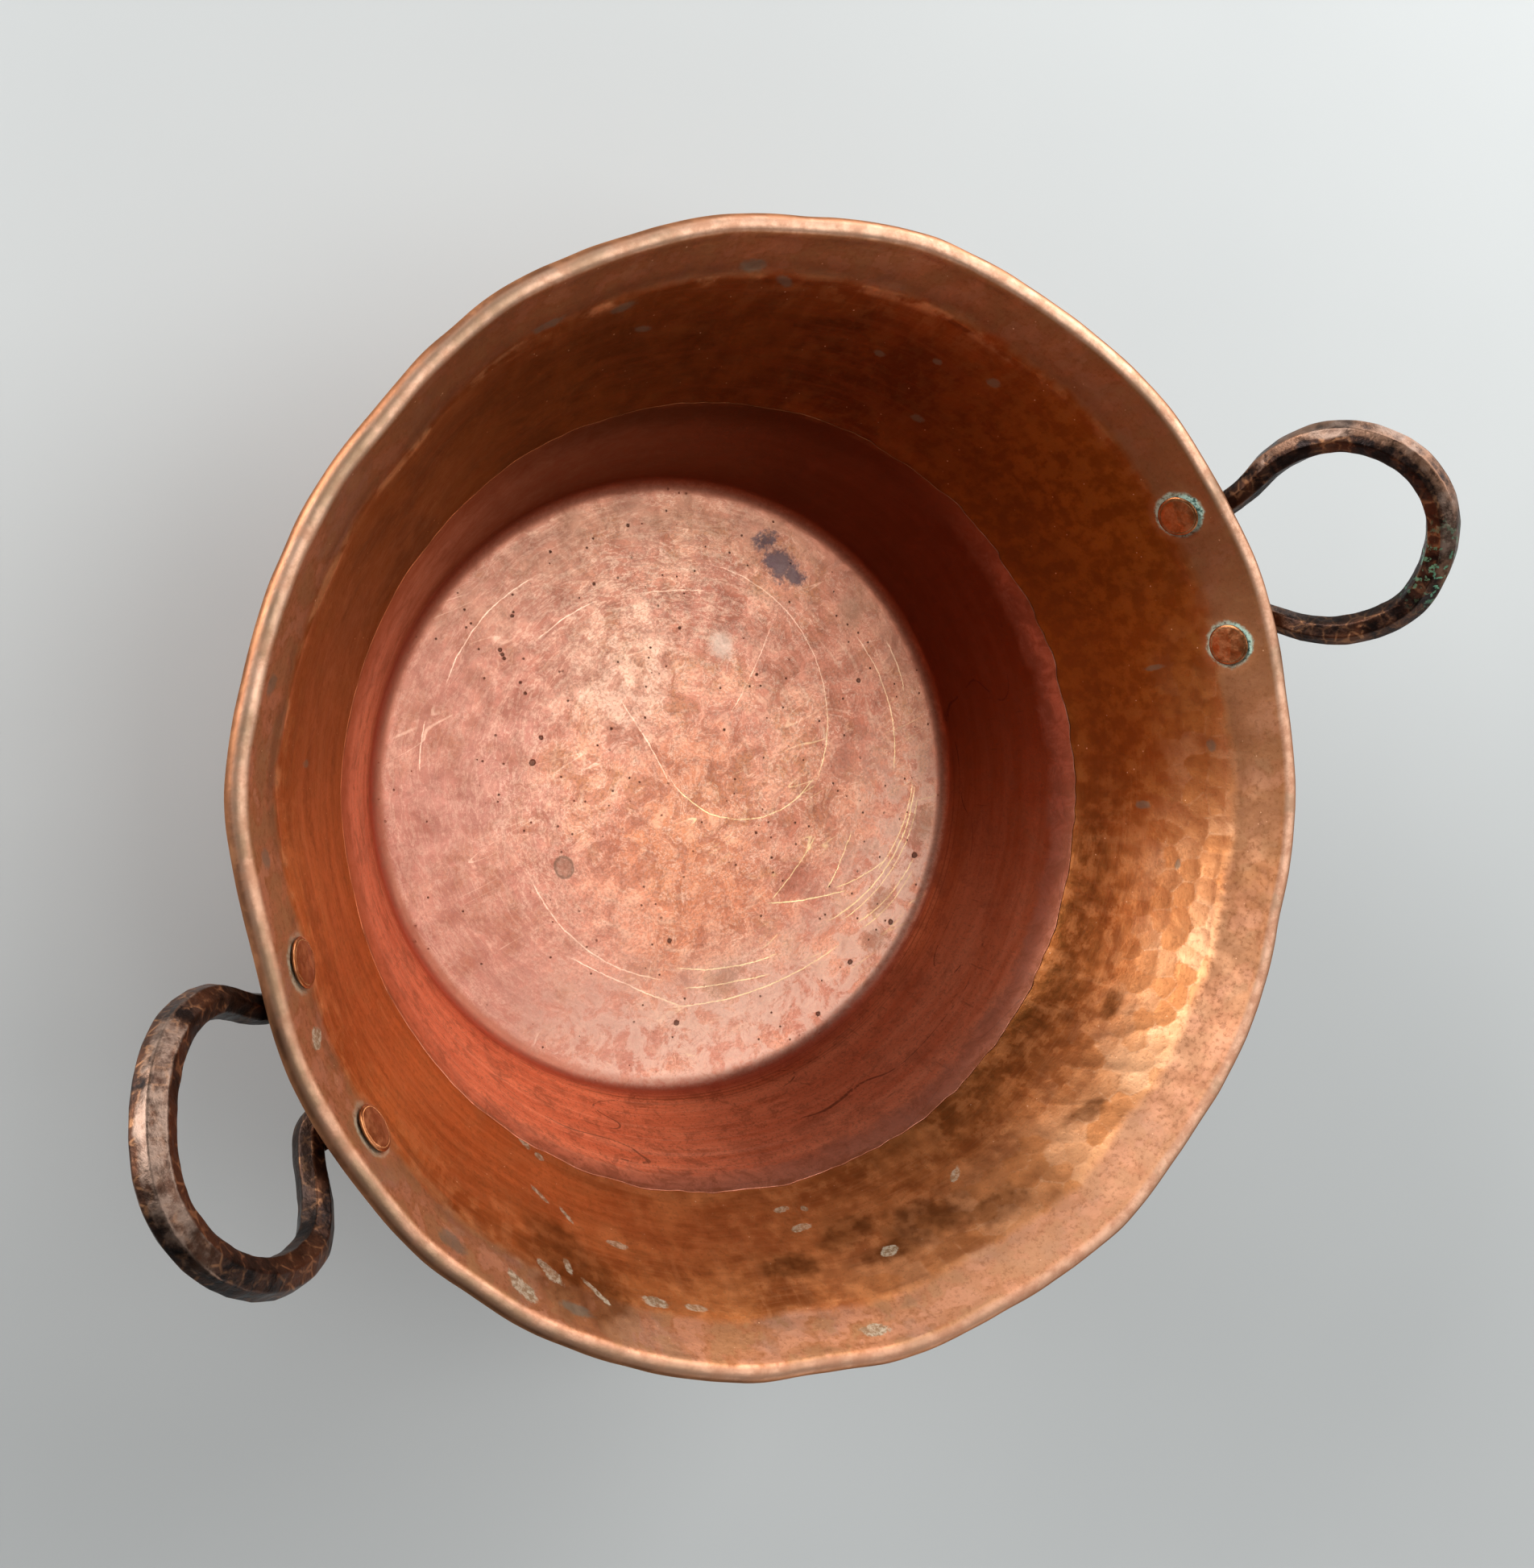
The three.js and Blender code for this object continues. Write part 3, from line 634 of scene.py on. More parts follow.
def copper_pan():
    """Scoured pink copper on the floor: salmon, mauve and orange clouds under pale flecks, pits, smudges and golden
    scratches, with painted shade on the left and round the edge on the shaded side, and a painted highlight at the edge
    on the lower side. Up the wall red copper on one side and painted shade on the shaded side, streaked round the pot,
    with a dull pink stripe along the lapped edge, and painted shade low in the corner and over the fillet."""
    finish = Finish("pan_copper")
    x, y, _ = finish.split()
    azimuth, flat, height = finish.round_place()
    floor_place = finish.joined(x, y, 0.0)
    broad = finish.noise(24, detail=5, roughness=0.62)
    cloud = finish.noise(46, detail=6, roughness=0.68, vector=finish.placed(move=(3, 5, 0)), distortion=0.5)
    blotch = finish.noise(100, detail=7, roughness=0.72, distortion=0.5)
    flake = finish.noise(560, detail=5, roughness=0.75)
    grain = finish.noise(760, detail=4, roughness=0.75)
    ring_place = finish.joined(finish.times(azimuth, 0.1), flat, 0.0)
    swirl = finish.streaks(ring_place, 26, 210, detail=5, roughness=0.65)

    pink = finish.mix(finish.band(broad, 0.42, 0.58), (0.66, 0.260, 0.175), (0.82, 0.370, 0.225))
    pink = finish.coat(pink, cloud, 0.48, 0.57, 0.70, (0.54, 0.180, 0.115))
    orange = finish.times(finish.band(blotch, 0.48, 0.62), finish.band(broad, 0.46, 0.58), 0.65)
    pink = finish.mix(orange, pink, (0.86, 0.40, 0.17))
    soft_warp = finish.plus(finish.shifted(broad, 3.0), finish.shifted(blotch, 1.2))
    for (spot_x, spot_y), size, tone, amount in FLOOR_CLOUDS:
        spot = (spot_x * MM, spot_y * MM)
        area = finish.patch(floor_place, spot, (size * MM, size * MM), soft=0.5, warp=soft_warp)
        pink = finish.mix(finish.times(area, amount), pink, tone)
    pale = finish.times(finish.band(flake, 0.48, 0.62), finish.band(blotch, 0.42, 0.56, 0.12, 1), 0.50)
    pink = finish.mix(pale, pink, (0.99, 0.72, 0.55))
    crackle = finish.noise(95, detail=8, roughness=0.66, distortion=0.8)
    pink = finish.coat(pink, crackle, 0.520, 0.535, 0.34, (0.56, 0.190, 0.115))
    pink = finish.coat(pink, crackle, 0.435, 0.420, 0.30, (0.98, 0.62, 0.43))
    veins = finish.vein(crackle, 0.003, 0.011)
    pink = finish.mix(finish.times(veins, finish.band(broad, 0.36, 0.56, 0.30, 0.75)), pink, (1.0, 0.72, 0.54))
    veins = finish.vein(crackle, 0.003, 0.011, 0.57)
    pink = finish.mix(finish.times(veins, finish.band(cloud, 0.42, 0.56, 0.25, 0.75)), pink, (0.40, 0.145, 0.085))
    rings = finish.streaks(ring_place, 75, 270, detail=5, roughness=0.62, distortion=0.6)
    ringed = finish.times(finish.band(flat, 0.035, 0.085), finish.side(130, -0.35, 0.5))
    veins = finish.vein(rings, 0.010, 0.035)
    pink = finish.mix(finish.times(veins, ringed, 0.55), pink, (0.98, 0.70, 0.50))
    veins = finish.vein(rings, 0.008, 0.030, 0.58)
    pink = finish.mix(finish.times(veins, ringed, 0.55), pink, (0.46, 0.200, 0.140))
    pink = finish.coat(pink, swirl, 0.54, 0.70, 0.42, (0.96, 0.68, 0.48))
    pink = finish.coat(pink, swirl, 0.46, 0.32, 0.35, (0.50, 0.215, 0.150))
    pink = finish.coat(pink, grain, 0.48, 0.60, 0.55, (0.42, 0.170, 0.110))
    rim_of_floor = finish.band(flat, 0.088, 0.130)
    # Painted shade on the left of the floor.
    left = finish.times(finish.band(flat, 0.045, 0.105), finish.side(165, 0.0, 0.9), 0.62)
    pink = finish.mix(left, pink, (0.58, 0.235, 0.175))
    # Painted shade round the edge of the floor on the shaded side.
    painted_shade_floor_edge = finish.times(rim_of_floor, finish.side(55, -0.2, 0.8), finish.band(cloud, 0.3, 0.6, 0.95, 0.4))
    pink = finish.mix(painted_shade_floor_edge, pink, (0.47, 0.235, 0.150))
    # Painted highlight at the edge of the floor on the lower side.
    painted_floor_highlight = finish.times(
        finish.band(flat, 0.065, 0.125), finish.side(275, 0.1, 0.9), finish.band(blotch, 0.42, 0.56, 0.10, 0.75)
    )
    pink = finish.mix(painted_floor_highlight, pink, (1.0, 0.75, 0.60))

    slow = finish.streaks(floor_place, 9, 75, detail=1, turn=0.9)
    hair = finish.vein(slow, 0.0024, 0.006)
    hair = finish.times(hair, finish.band(broad, 0.52, 0.60), 0.5)
    wobble = finish.plus(finish.shifted(blotch, 0.0022), finish.shifted(flake, 0.0006))
    gold = finish.times(floor_scratches(finish, floor_place, wobble), finish.band(flake, 0.34, 0.50, 0.25, 1))
    gold = finish.times(strongest(finish, [gold, hair]), finish.band(height, 0.005, 0.003))
    golden = finish.mix(finish.side(300, 0.2, 0.85), (0.99, 0.72, 0.52), (1.0, 0.82, 0.42))
    pink = finish.mix(finish.times(gold, finish.side(300, 0.2, 0.85, 0.55, 0.95)), pink, golden)

    specks = finish.times(finish.band(finish.cells(160), 0.060, 0.095, 1, 0), finish.band(broad, 0.38, 0.50))
    small_warp = finish.shifted(flake, 0.0014)
    pits = specks
    for pit_x, pit_y, radius in PITS:
        pit = finish.blot((pit_x * MM, pit_y * MM, PAN_SHEET), radius * MM * 0.6, 0.0003, small_warp)
        pits = finish.math("MAXIMUM", pits, pit)
    pits = finish.times(pits, finish.band(height, 0.006, 0.004))
    pink = finish.mix(finish.times(pits, 0.9), pink, (0.12, 0.052, 0.034))
    spot = (-63 * MM, -8 * MM)
    mark = finish.patch(floor_place, spot, (4.4 * MM, 5.2 * MM), soft=0.10, warp=finish.shifted(flake, 0.4))
    inner = finish.patch(floor_place, spot, (3.3 * MM, 4.0 * MM), soft=0.16, warp=finish.shifted(flake, 1.4))
    ring_mark = finish.math("SUBTRACT", mark, finish.times(inner, 0.45))
    pink = finish.mix(finish.times(ring_mark, 0.85), pink, (0.22, 0.130, 0.088))
    spot = (45 * MM, 49 * MM)
    pale_mark = finish.patch(floor_place, spot, (5 * MM, 6 * MM), soft=0.5, warp=finish.shifted(flake, 2.0))
    pink = finish.mix(finish.times(pale_mark, 0.5), pink, (0.72, 0.62, 0.50))
    cloud_warp = finish.plus(finish.shifted(blotch, 3.6), finish.shifted(flake, 2.2))
    smudges = floor_spots(finish, floor_place, SMUDGES, cloud_warp)
    pink = finish.mix(finish.times(smudges, 0.45), pink, (0.33, 0.200, 0.130))
    blue = floor_spots(finish, floor_place, BLUE_STAIN, cloud_warp)
    pink = finish.mix(finish.times(blue, 0.85), pink, (0.070, 0.062, 0.080))

    unrolled = finish.joined(finish.times(azimuth, LAP_RADIUS), height, 0.0)
    sweep = finish.streaks(unrolled, 9, 95, detail=6, roughness=0.66, turn=0.05)
    hatch = finish.streaks(unrolled, 420, 46, detail=4, roughness=0.6)
    red = finish.mix(finish.band(sweep, 0.36, 0.66), (0.72, 0.205, 0.098), (0.90, 0.340, 0.188))
    brown = finish.mix(finish.band(sweep, 0.34, 0.66), (0.50, 0.140, 0.052), (0.66, 0.220, 0.105))
    red_side = finish.side(215, -0.45, 0.55)
    wall = finish.mix(red_side, brown, red)
    lines = finish.streaks(unrolled, 5, 420, detail=5, roughness=0.7, turn=0.03)
    lines = finish.times(finish.band(lines, 0.52, 0.60), finish.side(180, 0.0, 0.8))
    wall = finish.mix(finish.times(lines, 0.55), wall, (0.90, 0.44, 0.30))
    shaded = finish.facing(45)
    # Painted shade on the shaded side of the wall.
    wall = finish.mix(finish.times(finish.band(shaded, -0.35, 0.75), 0.80), wall, (0.150, 0.030, 0.007))
    wall = finish.coat(wall, cloud, 0.50, 0.66, 0.30, (0.24, 0.065, 0.030))
    dashes = finish.times(finish.band(hatch, 0.62, 0.74), finish.side(335, -0.1, 0.7), 0.5)
    wall = finish.mix(dashes, wall, (0.14, 0.040, 0.020))
    wall = finish.coat(wall, blotch, 0.50, 0.62, 0.40, (0.30, 0.080, 0.036))
    wall = finish.coat(wall, grain, 0.50, 0.66, 0.42, (0.20, 0.060, 0.030))
    crack = finish.streaks(unrolled, 7, 20, detail=1.5, roughness=0.5, turn=0.5)
    hairline = finish.times(
        finish.vein(crack, 0.0010, 0.0030),
        finish.band(cloud, 0.46, 0.52), finish.side(285, -0.1, 0.5), 0.7,
    )
    wall = finish.mix(hairline, wall, (0.13, 0.035, 0.020))
    low_rings = finish.streaks(unrolled, 5, 800, detail=4, roughness=0.6)
    low_rings = finish.times(finish.band(low_rings, 0.52, 0.62), finish.band(height, 0.024, 0.008), 0.6)
    wall = finish.mix(low_rings, wall, (0.24, 0.065, 0.032))
    tilt = finish.times(finish.facing(60), LAP_TILT)
    below_edge = finish.plus(finish.math("SUBTRACT", height, LAP_HEIGHT), tilt)
    edge_place = finish.plus(below_edge, finish.shifted(cloud, 0.018), finish.shifted(blotch, 0.008))
    stripe = finish.times(finish.band(edge_place, -0.0150, -0.0085), finish.side(290, -0.35, 0.45))
    dull = finish.mix(finish.band(blotch, 0.36, 0.62), (0.60, 0.275, 0.190), (0.36, 0.135, 0.080))
    wall = finish.mix(finish.times(stripe, 0.66), wall, dull)
    # Near the lap the wall blends into the upper wall's tone, dark with painted shade on the side away from the left.
    blend = finish.times(finish.band(edge_place, -0.026, -0.003), finish.side(110, -0.15, 0.65))
    near_lap = finish.mix(finish.side(175, -0.1, 0.9), (0.105, 0.025, 0.005), (0.47, 0.115, 0.038))
    wall = finish.mix(finish.times(blend, 0.85), wall, near_lap)
    at_edge = finish.times(finish.band(below_edge, -0.0026, -0.0012), finish.band(cloud, 0.42, 0.54, 0.9, 0.1))
    wall = finish.mix(finish.times(at_edge, 0.5), wall, (0.26, 0.080, 0.030))
    corner = finish.times(finish.band(height, 0.014, 0.006), finish.side(200, -0.3, 0.6))
    wall = finish.mix(finish.times(corner, 0.55), wall, (0.60, 0.140, 0.080))
    # Painted shade low in the corner of the wall, lighter on the left.
    painted_corner_shade = finish.mix(finish.side(215, -0.3, 0.5), (0.34, 0.105, 0.060), (0.64, 0.165, 0.100))
    wall = finish.mix(finish.times(finish.band(height, 0.0080, 0.0040), 0.65), wall, painted_corner_shade)
    climb = finish.plus(height, finish.shifted(blotch, 0.0045), finish.shifted(flake, 0.0050))
    up_wall = finish.band(climb, 0.0012, 0.0052)
    # Painted shade over the fillet between the floor and the wall, which is also made rougher.
    painted_shade_fillet = finish.times(
        finish.band(flat, 0.1282, 0.1318), finish.band(height, 0.0070, 0.0040), finish.side(275, 0.3, 0.9, 0.8, 0.5)
    )
    pink = finish.mix(painted_shade_fillet, pink, (0.46, 0.155, 0.090))
    tone = finish.mix(up_wall, pink, wall)
    sooty = finish.mix(finish.band(cloud, 0.34, 0.68), (0.165, 0.066, 0.037), (0.29, 0.110, 0.057))
    tone = finish.mix(finish.attribute("outside"), tone, sooty)
    rough = finish.band(blotch, 0.3, 0.75, 0.36, 0.52)
    rough = finish.math("SUBTRACT", rough, finish.times(gold, 0.12))
    rough = finish.plus(rough, finish.times(painted_shade_fillet, 0.15))
    pitted = finish.math("SUBTRACT", 1.0, pits)
    normal = finish.bumps((grain, 0.00005, 0.6), (flake, 0.00008, 0.6), (blotch, 0.00020, 0.6), (pitted, 0.0003, 0.8))
    finish.surface(tone, rough, 0.85, normal, tint=(1.0, 0.82, 0.68), gloss=0.4)
    return finish.material


def forged_bronze():
    """Dark forged skin, rubbed back to pink metal on the outer flats and along the ridges between them, with painted
    shade, near black, on the inner side of the loop.
    """
    finish = Finish("handle_bronze")
    wear_and_shade = finish.attribute("ridge")
    mottle = finish.noise(170, detail=6, roughness=0.65)
    cloud = finish.noise(45, detail=4)
    fine = finish.noise(800, detail=4)
    dark = finish.mix(finish.band(mottle, 0.40, 0.60), (0.014, 0.009, 0.008), (0.060, 0.028, 0.018))
    dark = finish.coat(dark, cloud, 0.45, 0.62, 0.75, (0.130, 0.050, 0.024))
    seams = finish.band(finish.cells(210, feature="DISTANCE_TO_EDGE"), 0.02, 0.12, 1, 0)
    seams = finish.times(seams, finish.band(mottle, 0.42, 0.60), finish.band(cloud, 0.40, 0.56, 0.15, 0.80))
    dark = finish.mix(seams, dark, (0.36, 0.170, 0.080))
    worn = finish.mix(finish.band(mottle, 0.38, 0.62), (0.100, 0.060, 0.043), (0.25, 0.170, 0.130))
    worn = finish.coat(worn, cloud, 0.50, 0.40, 0.60, (0.24, 0.115, 0.062))
    # Painted shade: near black where the value falls below zero, on the inner side of the loop.
    dark = finish.coat(dark, wear_and_shade, 0.0, -0.25, 0.75, (0.010, 0.007, 0.006))
    wear_and_shade = finish.plus(wear_and_shade, finish.shifted(mottle, 0.6), finish.shifted(cloud, 0.8))
    tone = finish.mix(finish.band(wear_and_shade, 0.44, 0.72, 0, 0.92), dark, worn)
    centre = Vector(loop_point(HANDLES["right"], 0.86, -0.26))
    crust = finish.blot(centre, 0.013, 0.008, finish.shifted(cloud, 0.01))
    crust = finish.times(crust, finish.band(finish.noise(420, detail=3), 0.56, 0.63), 0.85)
    tone = finish.mix(crust, tone, (0.17, 0.42, 0.26))
    rough = finish.band(mottle, 0.3, 0.7, 0.36, 0.54)
    finish.surface(tone, rough, 0.9, finish.bumps((fine, 0.00008, 0.7), (mottle, 0.00060, 0.8)))
    return finish.material


def rivet_copper():
    """Orange-brown copper, mottled, with a dark line round the edge of the head."""
    finish = Finish("rivet_copper")
    mottle = finish.noise(260, detail=5, roughness=0.65)
    fine = finish.noise(1100, detail=4)
    tone = finish.mix(finish.band(mottle, 0.35, 0.68), (0.40, 0.145, 0.052), (0.60, 0.26, 0.115))
    edge = finish.attribute("edge")
    tone = finish.coat(tone, edge, 0.60, 1, 0.85, (0.075, 0.065, 0.045))
    normal = finish.bumps((fine, 0.00004, 0.6), (mottle, 0.0003, 0.7))
    finish.surface(tone, finish.band(mottle, 0.3, 0.7, 0.34, 0.5), 1.0, normal)
    return finish.material


def drawn_iron():
    """Brown iron with a grey sheen, for the wire in the rim."""
    finish = Finish("rim_iron")
    tone = finish.mix(finish.noise(300, detail=5), (0.10, 0.07, 0.05), (0.30, 0.26, 0.23))
    finish.surface(tone, finish.band(finish.noise(500), 0.3, 0.7, 0.5, 0.75), 0.9)
    return finish.material


# Surfaces

# Hammer blows on each face: how many in a row round it, the pitch of the rows, and the seed of their scatter,
# which the rivets' heads and the bars have for each piece
FLOOR_BLOWS = (30, 13 * MM, 5)
PAN_WALL_BLOWS = (84, 11 * MM, 6)
WALL_BLOWS = (122, 8.6 * MM, 7)
MOUTH_STROKES = (128, 9 * MM, 8)
RIM_BLOWS = (96, 12 * MM, 9)
OUTSIDE_BLOWS = (104, 10 * MM, 17)
HEAD_BLOWS = (9, 4.2 * MM)
BAR_BLOWS = (6, 8.5 * MM)
# How deep the blows and the slower waves of each face are
FLOOR_BLOW_DEPTH = 0.07 * MM
FLOOR_WAVE = 0.16 * MM
PAN_WALL_BLOW_DEPTH = 0.06 * MM
WALL_WAVE = 0.22 * MM
MOUTH_STROKE_DEPTH = 0.14 * MM
RIM_BLOW_DEPTH = 0.07 * MM
RIM_WAVE = 0.08 * MM
OUTSIDE_BLOW_DEPTH = 0.10 * MM
HEAD_BLOW_DEPTH = 0.10 * MM
BAR_BLOW_DEPTH = 0.20 * MM
BAR_WAVE = 0.16 * MM
# The lap: how much the pan's lip is thinned and spread, and how thick the fillet of braze over it is
LIP_THINNING = 0.95 * MM
LIP_SPREAD = 0.22 * MM
BRAZE_FILLET = 0.86 * MM
# The crease: how far it wanders, its ledge and groove, and how far the kink in the wall is eased
CREASE_WANDER = 1.3 * MM
CREASE_WAVER = 0.55 * MM
CREASE_LEDGE = 0.40 * MM
CREASE_GROOVE = 0.28 * MM
KINK_EASE = 14 * MM


def skin(name, rings, closed=False, **marks):
    """A closed mesh from rings[i, j], where j runs round and i along. Each pair of rings is joined by quads;
    the last ring meets the first if closed, or else each end is shut by a fan to the middle of its ring.
    Each mark is a value for every point, which the finish reads by its name."""
    along, around = rings.shape[:2]
    points = rings.reshape(-1, 3)
    index = np.arange(along * around).reshape(along, around)
    follow = np.concatenate([index, index[:1]]) if closed else index
    here, there = follow[:-1], follow[1:]
    quads = np.stack([here, np.roll(here, -1, 1), np.roll(there, -1, 1), there], -1).reshape(-1, 4)
    faces = [quads[:, [0, 1, 2]], quads[:, [0, 2, 3]]]
    if not closed:
        poles = np.stack([rings[0].mean(0), rings[-1].mean(0)])
        first, last = len(points), len(points) + 1
        points = np.concatenate([points, poles])
        faces.append(np.stack([np.full(around, first), np.roll(index[0], -1), index[0]], -1))
        faces.append(np.stack([np.full(around, last), index[-1], np.roll(index[-1], -1)], -1))
    faces = np.concatenate(faces)
    a, b, c = points[faces[:, 0]], points[faces[:, 1]], points[faces[:, 2]]
    if np.einsum("ij,ij->i", a, np.cross(b, c)).sum() < 0:
        faces = faces[:, ::-1]
    mesh = bpy.data.meshes.new(name)
    mesh.from_pydata(points.tolist(), [], faces.tolist())
    for mark, values in marks.items():
        padded = np.zeros(len(points), np.float32)
        padded[: values.size] = values.ravel()
        mesh.attributes.new(mark, "FLOAT", "POINT").data.foreach_set("value", padded)
    mesh.shade_smooth()
    piece = bpy.data.objects.new(name, mesh)
    bpy.context.scene.collection.objects.link(piece)
    return piece


def fit_out(piece, node, material):
    """Puts a piece in a CAD node's place, with its finish."""
    piece.data.materials.append(material)
    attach(piece, "root")
    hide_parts(node)


def scatter(column, row, seed):
    """Two even random numbers from 0 to 1 for each cell of a grid, from a fixed integer hash."""
    key = (column.astype(np.uint64) * 374761393 + row.astype(np.uint64) * 668265263 + seed * 2246822519) % 2**32
    key = (key ^ (key >> 13)) * 1274126177 % 2**32
    other = (key ^ (key >> 16)) * 2654435761 % 2**32
    return key / 2**32, other / 2**32


def hammered(u, v, columns, pitch, seed, jitter=0.32, lean=0.0):
    """The height of a hammered face, from -1 in the middle of a blow to 0 on the ridge between two blows;
    a random number for each blow; and the ridge, which is 1 midway between two blows and falls to 0 at a
    small distance. u is the share of the way round, v a length, and blows lie in rows pitch apart, with
    columns in each. The height is the distance to the nearest blow, squared, less 1, and leans to a random
    side by a share."""
    column = np.floor(u * columns)
    row = np.floor(v / pitch)
    shape = np.broadcast(u, v).shape
    nearest, second = np.full(shape, 9.0), np.full(shape, 9.0)
    side, blow = np.zeros(shape), np.zeros(shape)
    for across in (-1, 0, 1):
        for up in (-1, 0, 1):
            left, right = scatter((column + across) % columns, row + up + 1000, seed)
            stagger = 0.5 * ((row + up) % 2)
            x = u * columns - (column + across + 0.25 + stagger + jitter * (2 * left - 1))
            y = v / pitch - (row + up + 0.5 + jitter * (2 * right - 1))
            away = x**2 + y**2
            closer = away < nearest
            second = np.minimum(second, np.maximum(away, nearest))
            nearest = np.minimum(nearest, away)
            side = np.where(closer, x * (2 * right - 1) + y * (2 * left - 1), side)
            blow = np.where(closer, (left + right) % 1, blow)
    ridge = np.clip(1 - (np.sqrt(second) - np.sqrt(nearest)) / 0.20, 0, 1)
    return np.clip(nearest / 0.42, 0, 1) - 1 + lean * side, blow, ridge


def swell(u, v, seed, terms=7, around=9, length=0.09):
    """A slow random ripple from about -1 to 1: a sum of sines with whole periods round the pot."""
    random = np.random.default_rng(seed)
    total = np.zeros(np.broadcast(u, v).shape)
    for _ in range(terms):
        periods = random.integers(1, around)
        wave = random.uniform(-1, 1) * 2 * pi / length
        total = total + np.sin(2 * pi * periods * u + wave * v + random.uniform(0, 2 * pi))
    return total / terms**0.5


def sway(azimuth, height):
    """How far the dents move the wall: each a raised cosine across its width, times the squared share of
    the height up to the crease."""
    total = np.zeros(np.broadcast(azimuth, height).shape)
    for centre, half_width, depth in DENTS:
        away = np.abs((azimuth - radians(centre) + pi) % (2 * pi) - pi) / radians(half_width)
        total = total + np.where(away < 1, depth * MM * (1 + np.cos(pi * away)) / 2, 0)
    return total * np.clip(height / CREASE_HEIGHT, 0, 1) ** 2


def cut_edge(azimuth):
    """The pan's hand-cut edge, with its small unevenness of about a millimetre each way."""
    u = azimuth / (2 * pi)
    broad = 0.60 * MM * swell(u, 0 * u, 11, terms=9, around=40)
    return lap_height(azimuth) + broad + 0.30 * MM * swell(u, 0 * u, 12, terms=9, around=150)


def smoothed_lap(azimuth):
    """1 where the lap was dressed down until it hardly shows, and 0 where its edge is crisp."""
    return smooth_step(np.cos(azimuth - SMOOTH_LAP_AZIMUTH), -0.15, 0.65)


def pan_radius(height):
    """The inside of the lower wall: a cone that passes the middle of the lap."""
    return LAP_RADIUS + (height - LAP_HEIGHT) * tan(PAN_SLOPE)


def mouth_radius(height):
    """The line from the crease up to where the wall meets the roll."""
    touch_radius = ROLL_CENTRE - ROLL_RADIUS * cos(MOUTH_SLOPE)
    touch_height = RIM_HEIGHT + ROLL_RADIUS * sin(MOUTH_SLOPE)
    return touch_radius + (height - touch_height) * tan(MOUTH_SLOPE)


def lap_height(azimuth):
    """The pan's edge: one slow rise and fall round the pot."""
    return LAP_HEIGHT - LAP_TILT * np.cos(azimuth - LAP_TILT_AZIMUTH)


def wall_radius(azimuth, height):
    """The inside of the upper wall, from the lap to the rim, with its dents."""
    edge = lap_height(azimuth)
    behind = (PAN_SHEET + LAP_GAP) / cos(PAN_SLOPE)
    lap = pan_radius(edge) + behind
    crease = mouth_radius(CREASE_HEIGHT)
    share = (height - edge) / (CREASE_HEIGHT - edge)
    slope = np.where(height < edge, pan_radius(height) + behind, lap + share * (crease - lap))
    return np.where(height > CREASE_HEIGHT, mouth_radius(height), slope) + sway(azimuth, height)


def turned_points(azimuth, radius, height):
    """Points from cylindrical coordinates: radius times the cosine and the sine of the azimuth, and height."""
    return np.stack([radius * np.cos(azimuth), radius * np.sin(azimuth), height + 0 * radius], -1)


def arc_points(centre_radius, centre_height, radius, start, stop, count):
    """Radii and heights of evenly spaced points on an arc between two angles."""
    angle = np.linspace(start, stop, count)
    return centre_radius + radius * np.cos(angle), centre_height + radius * np.sin(angle)


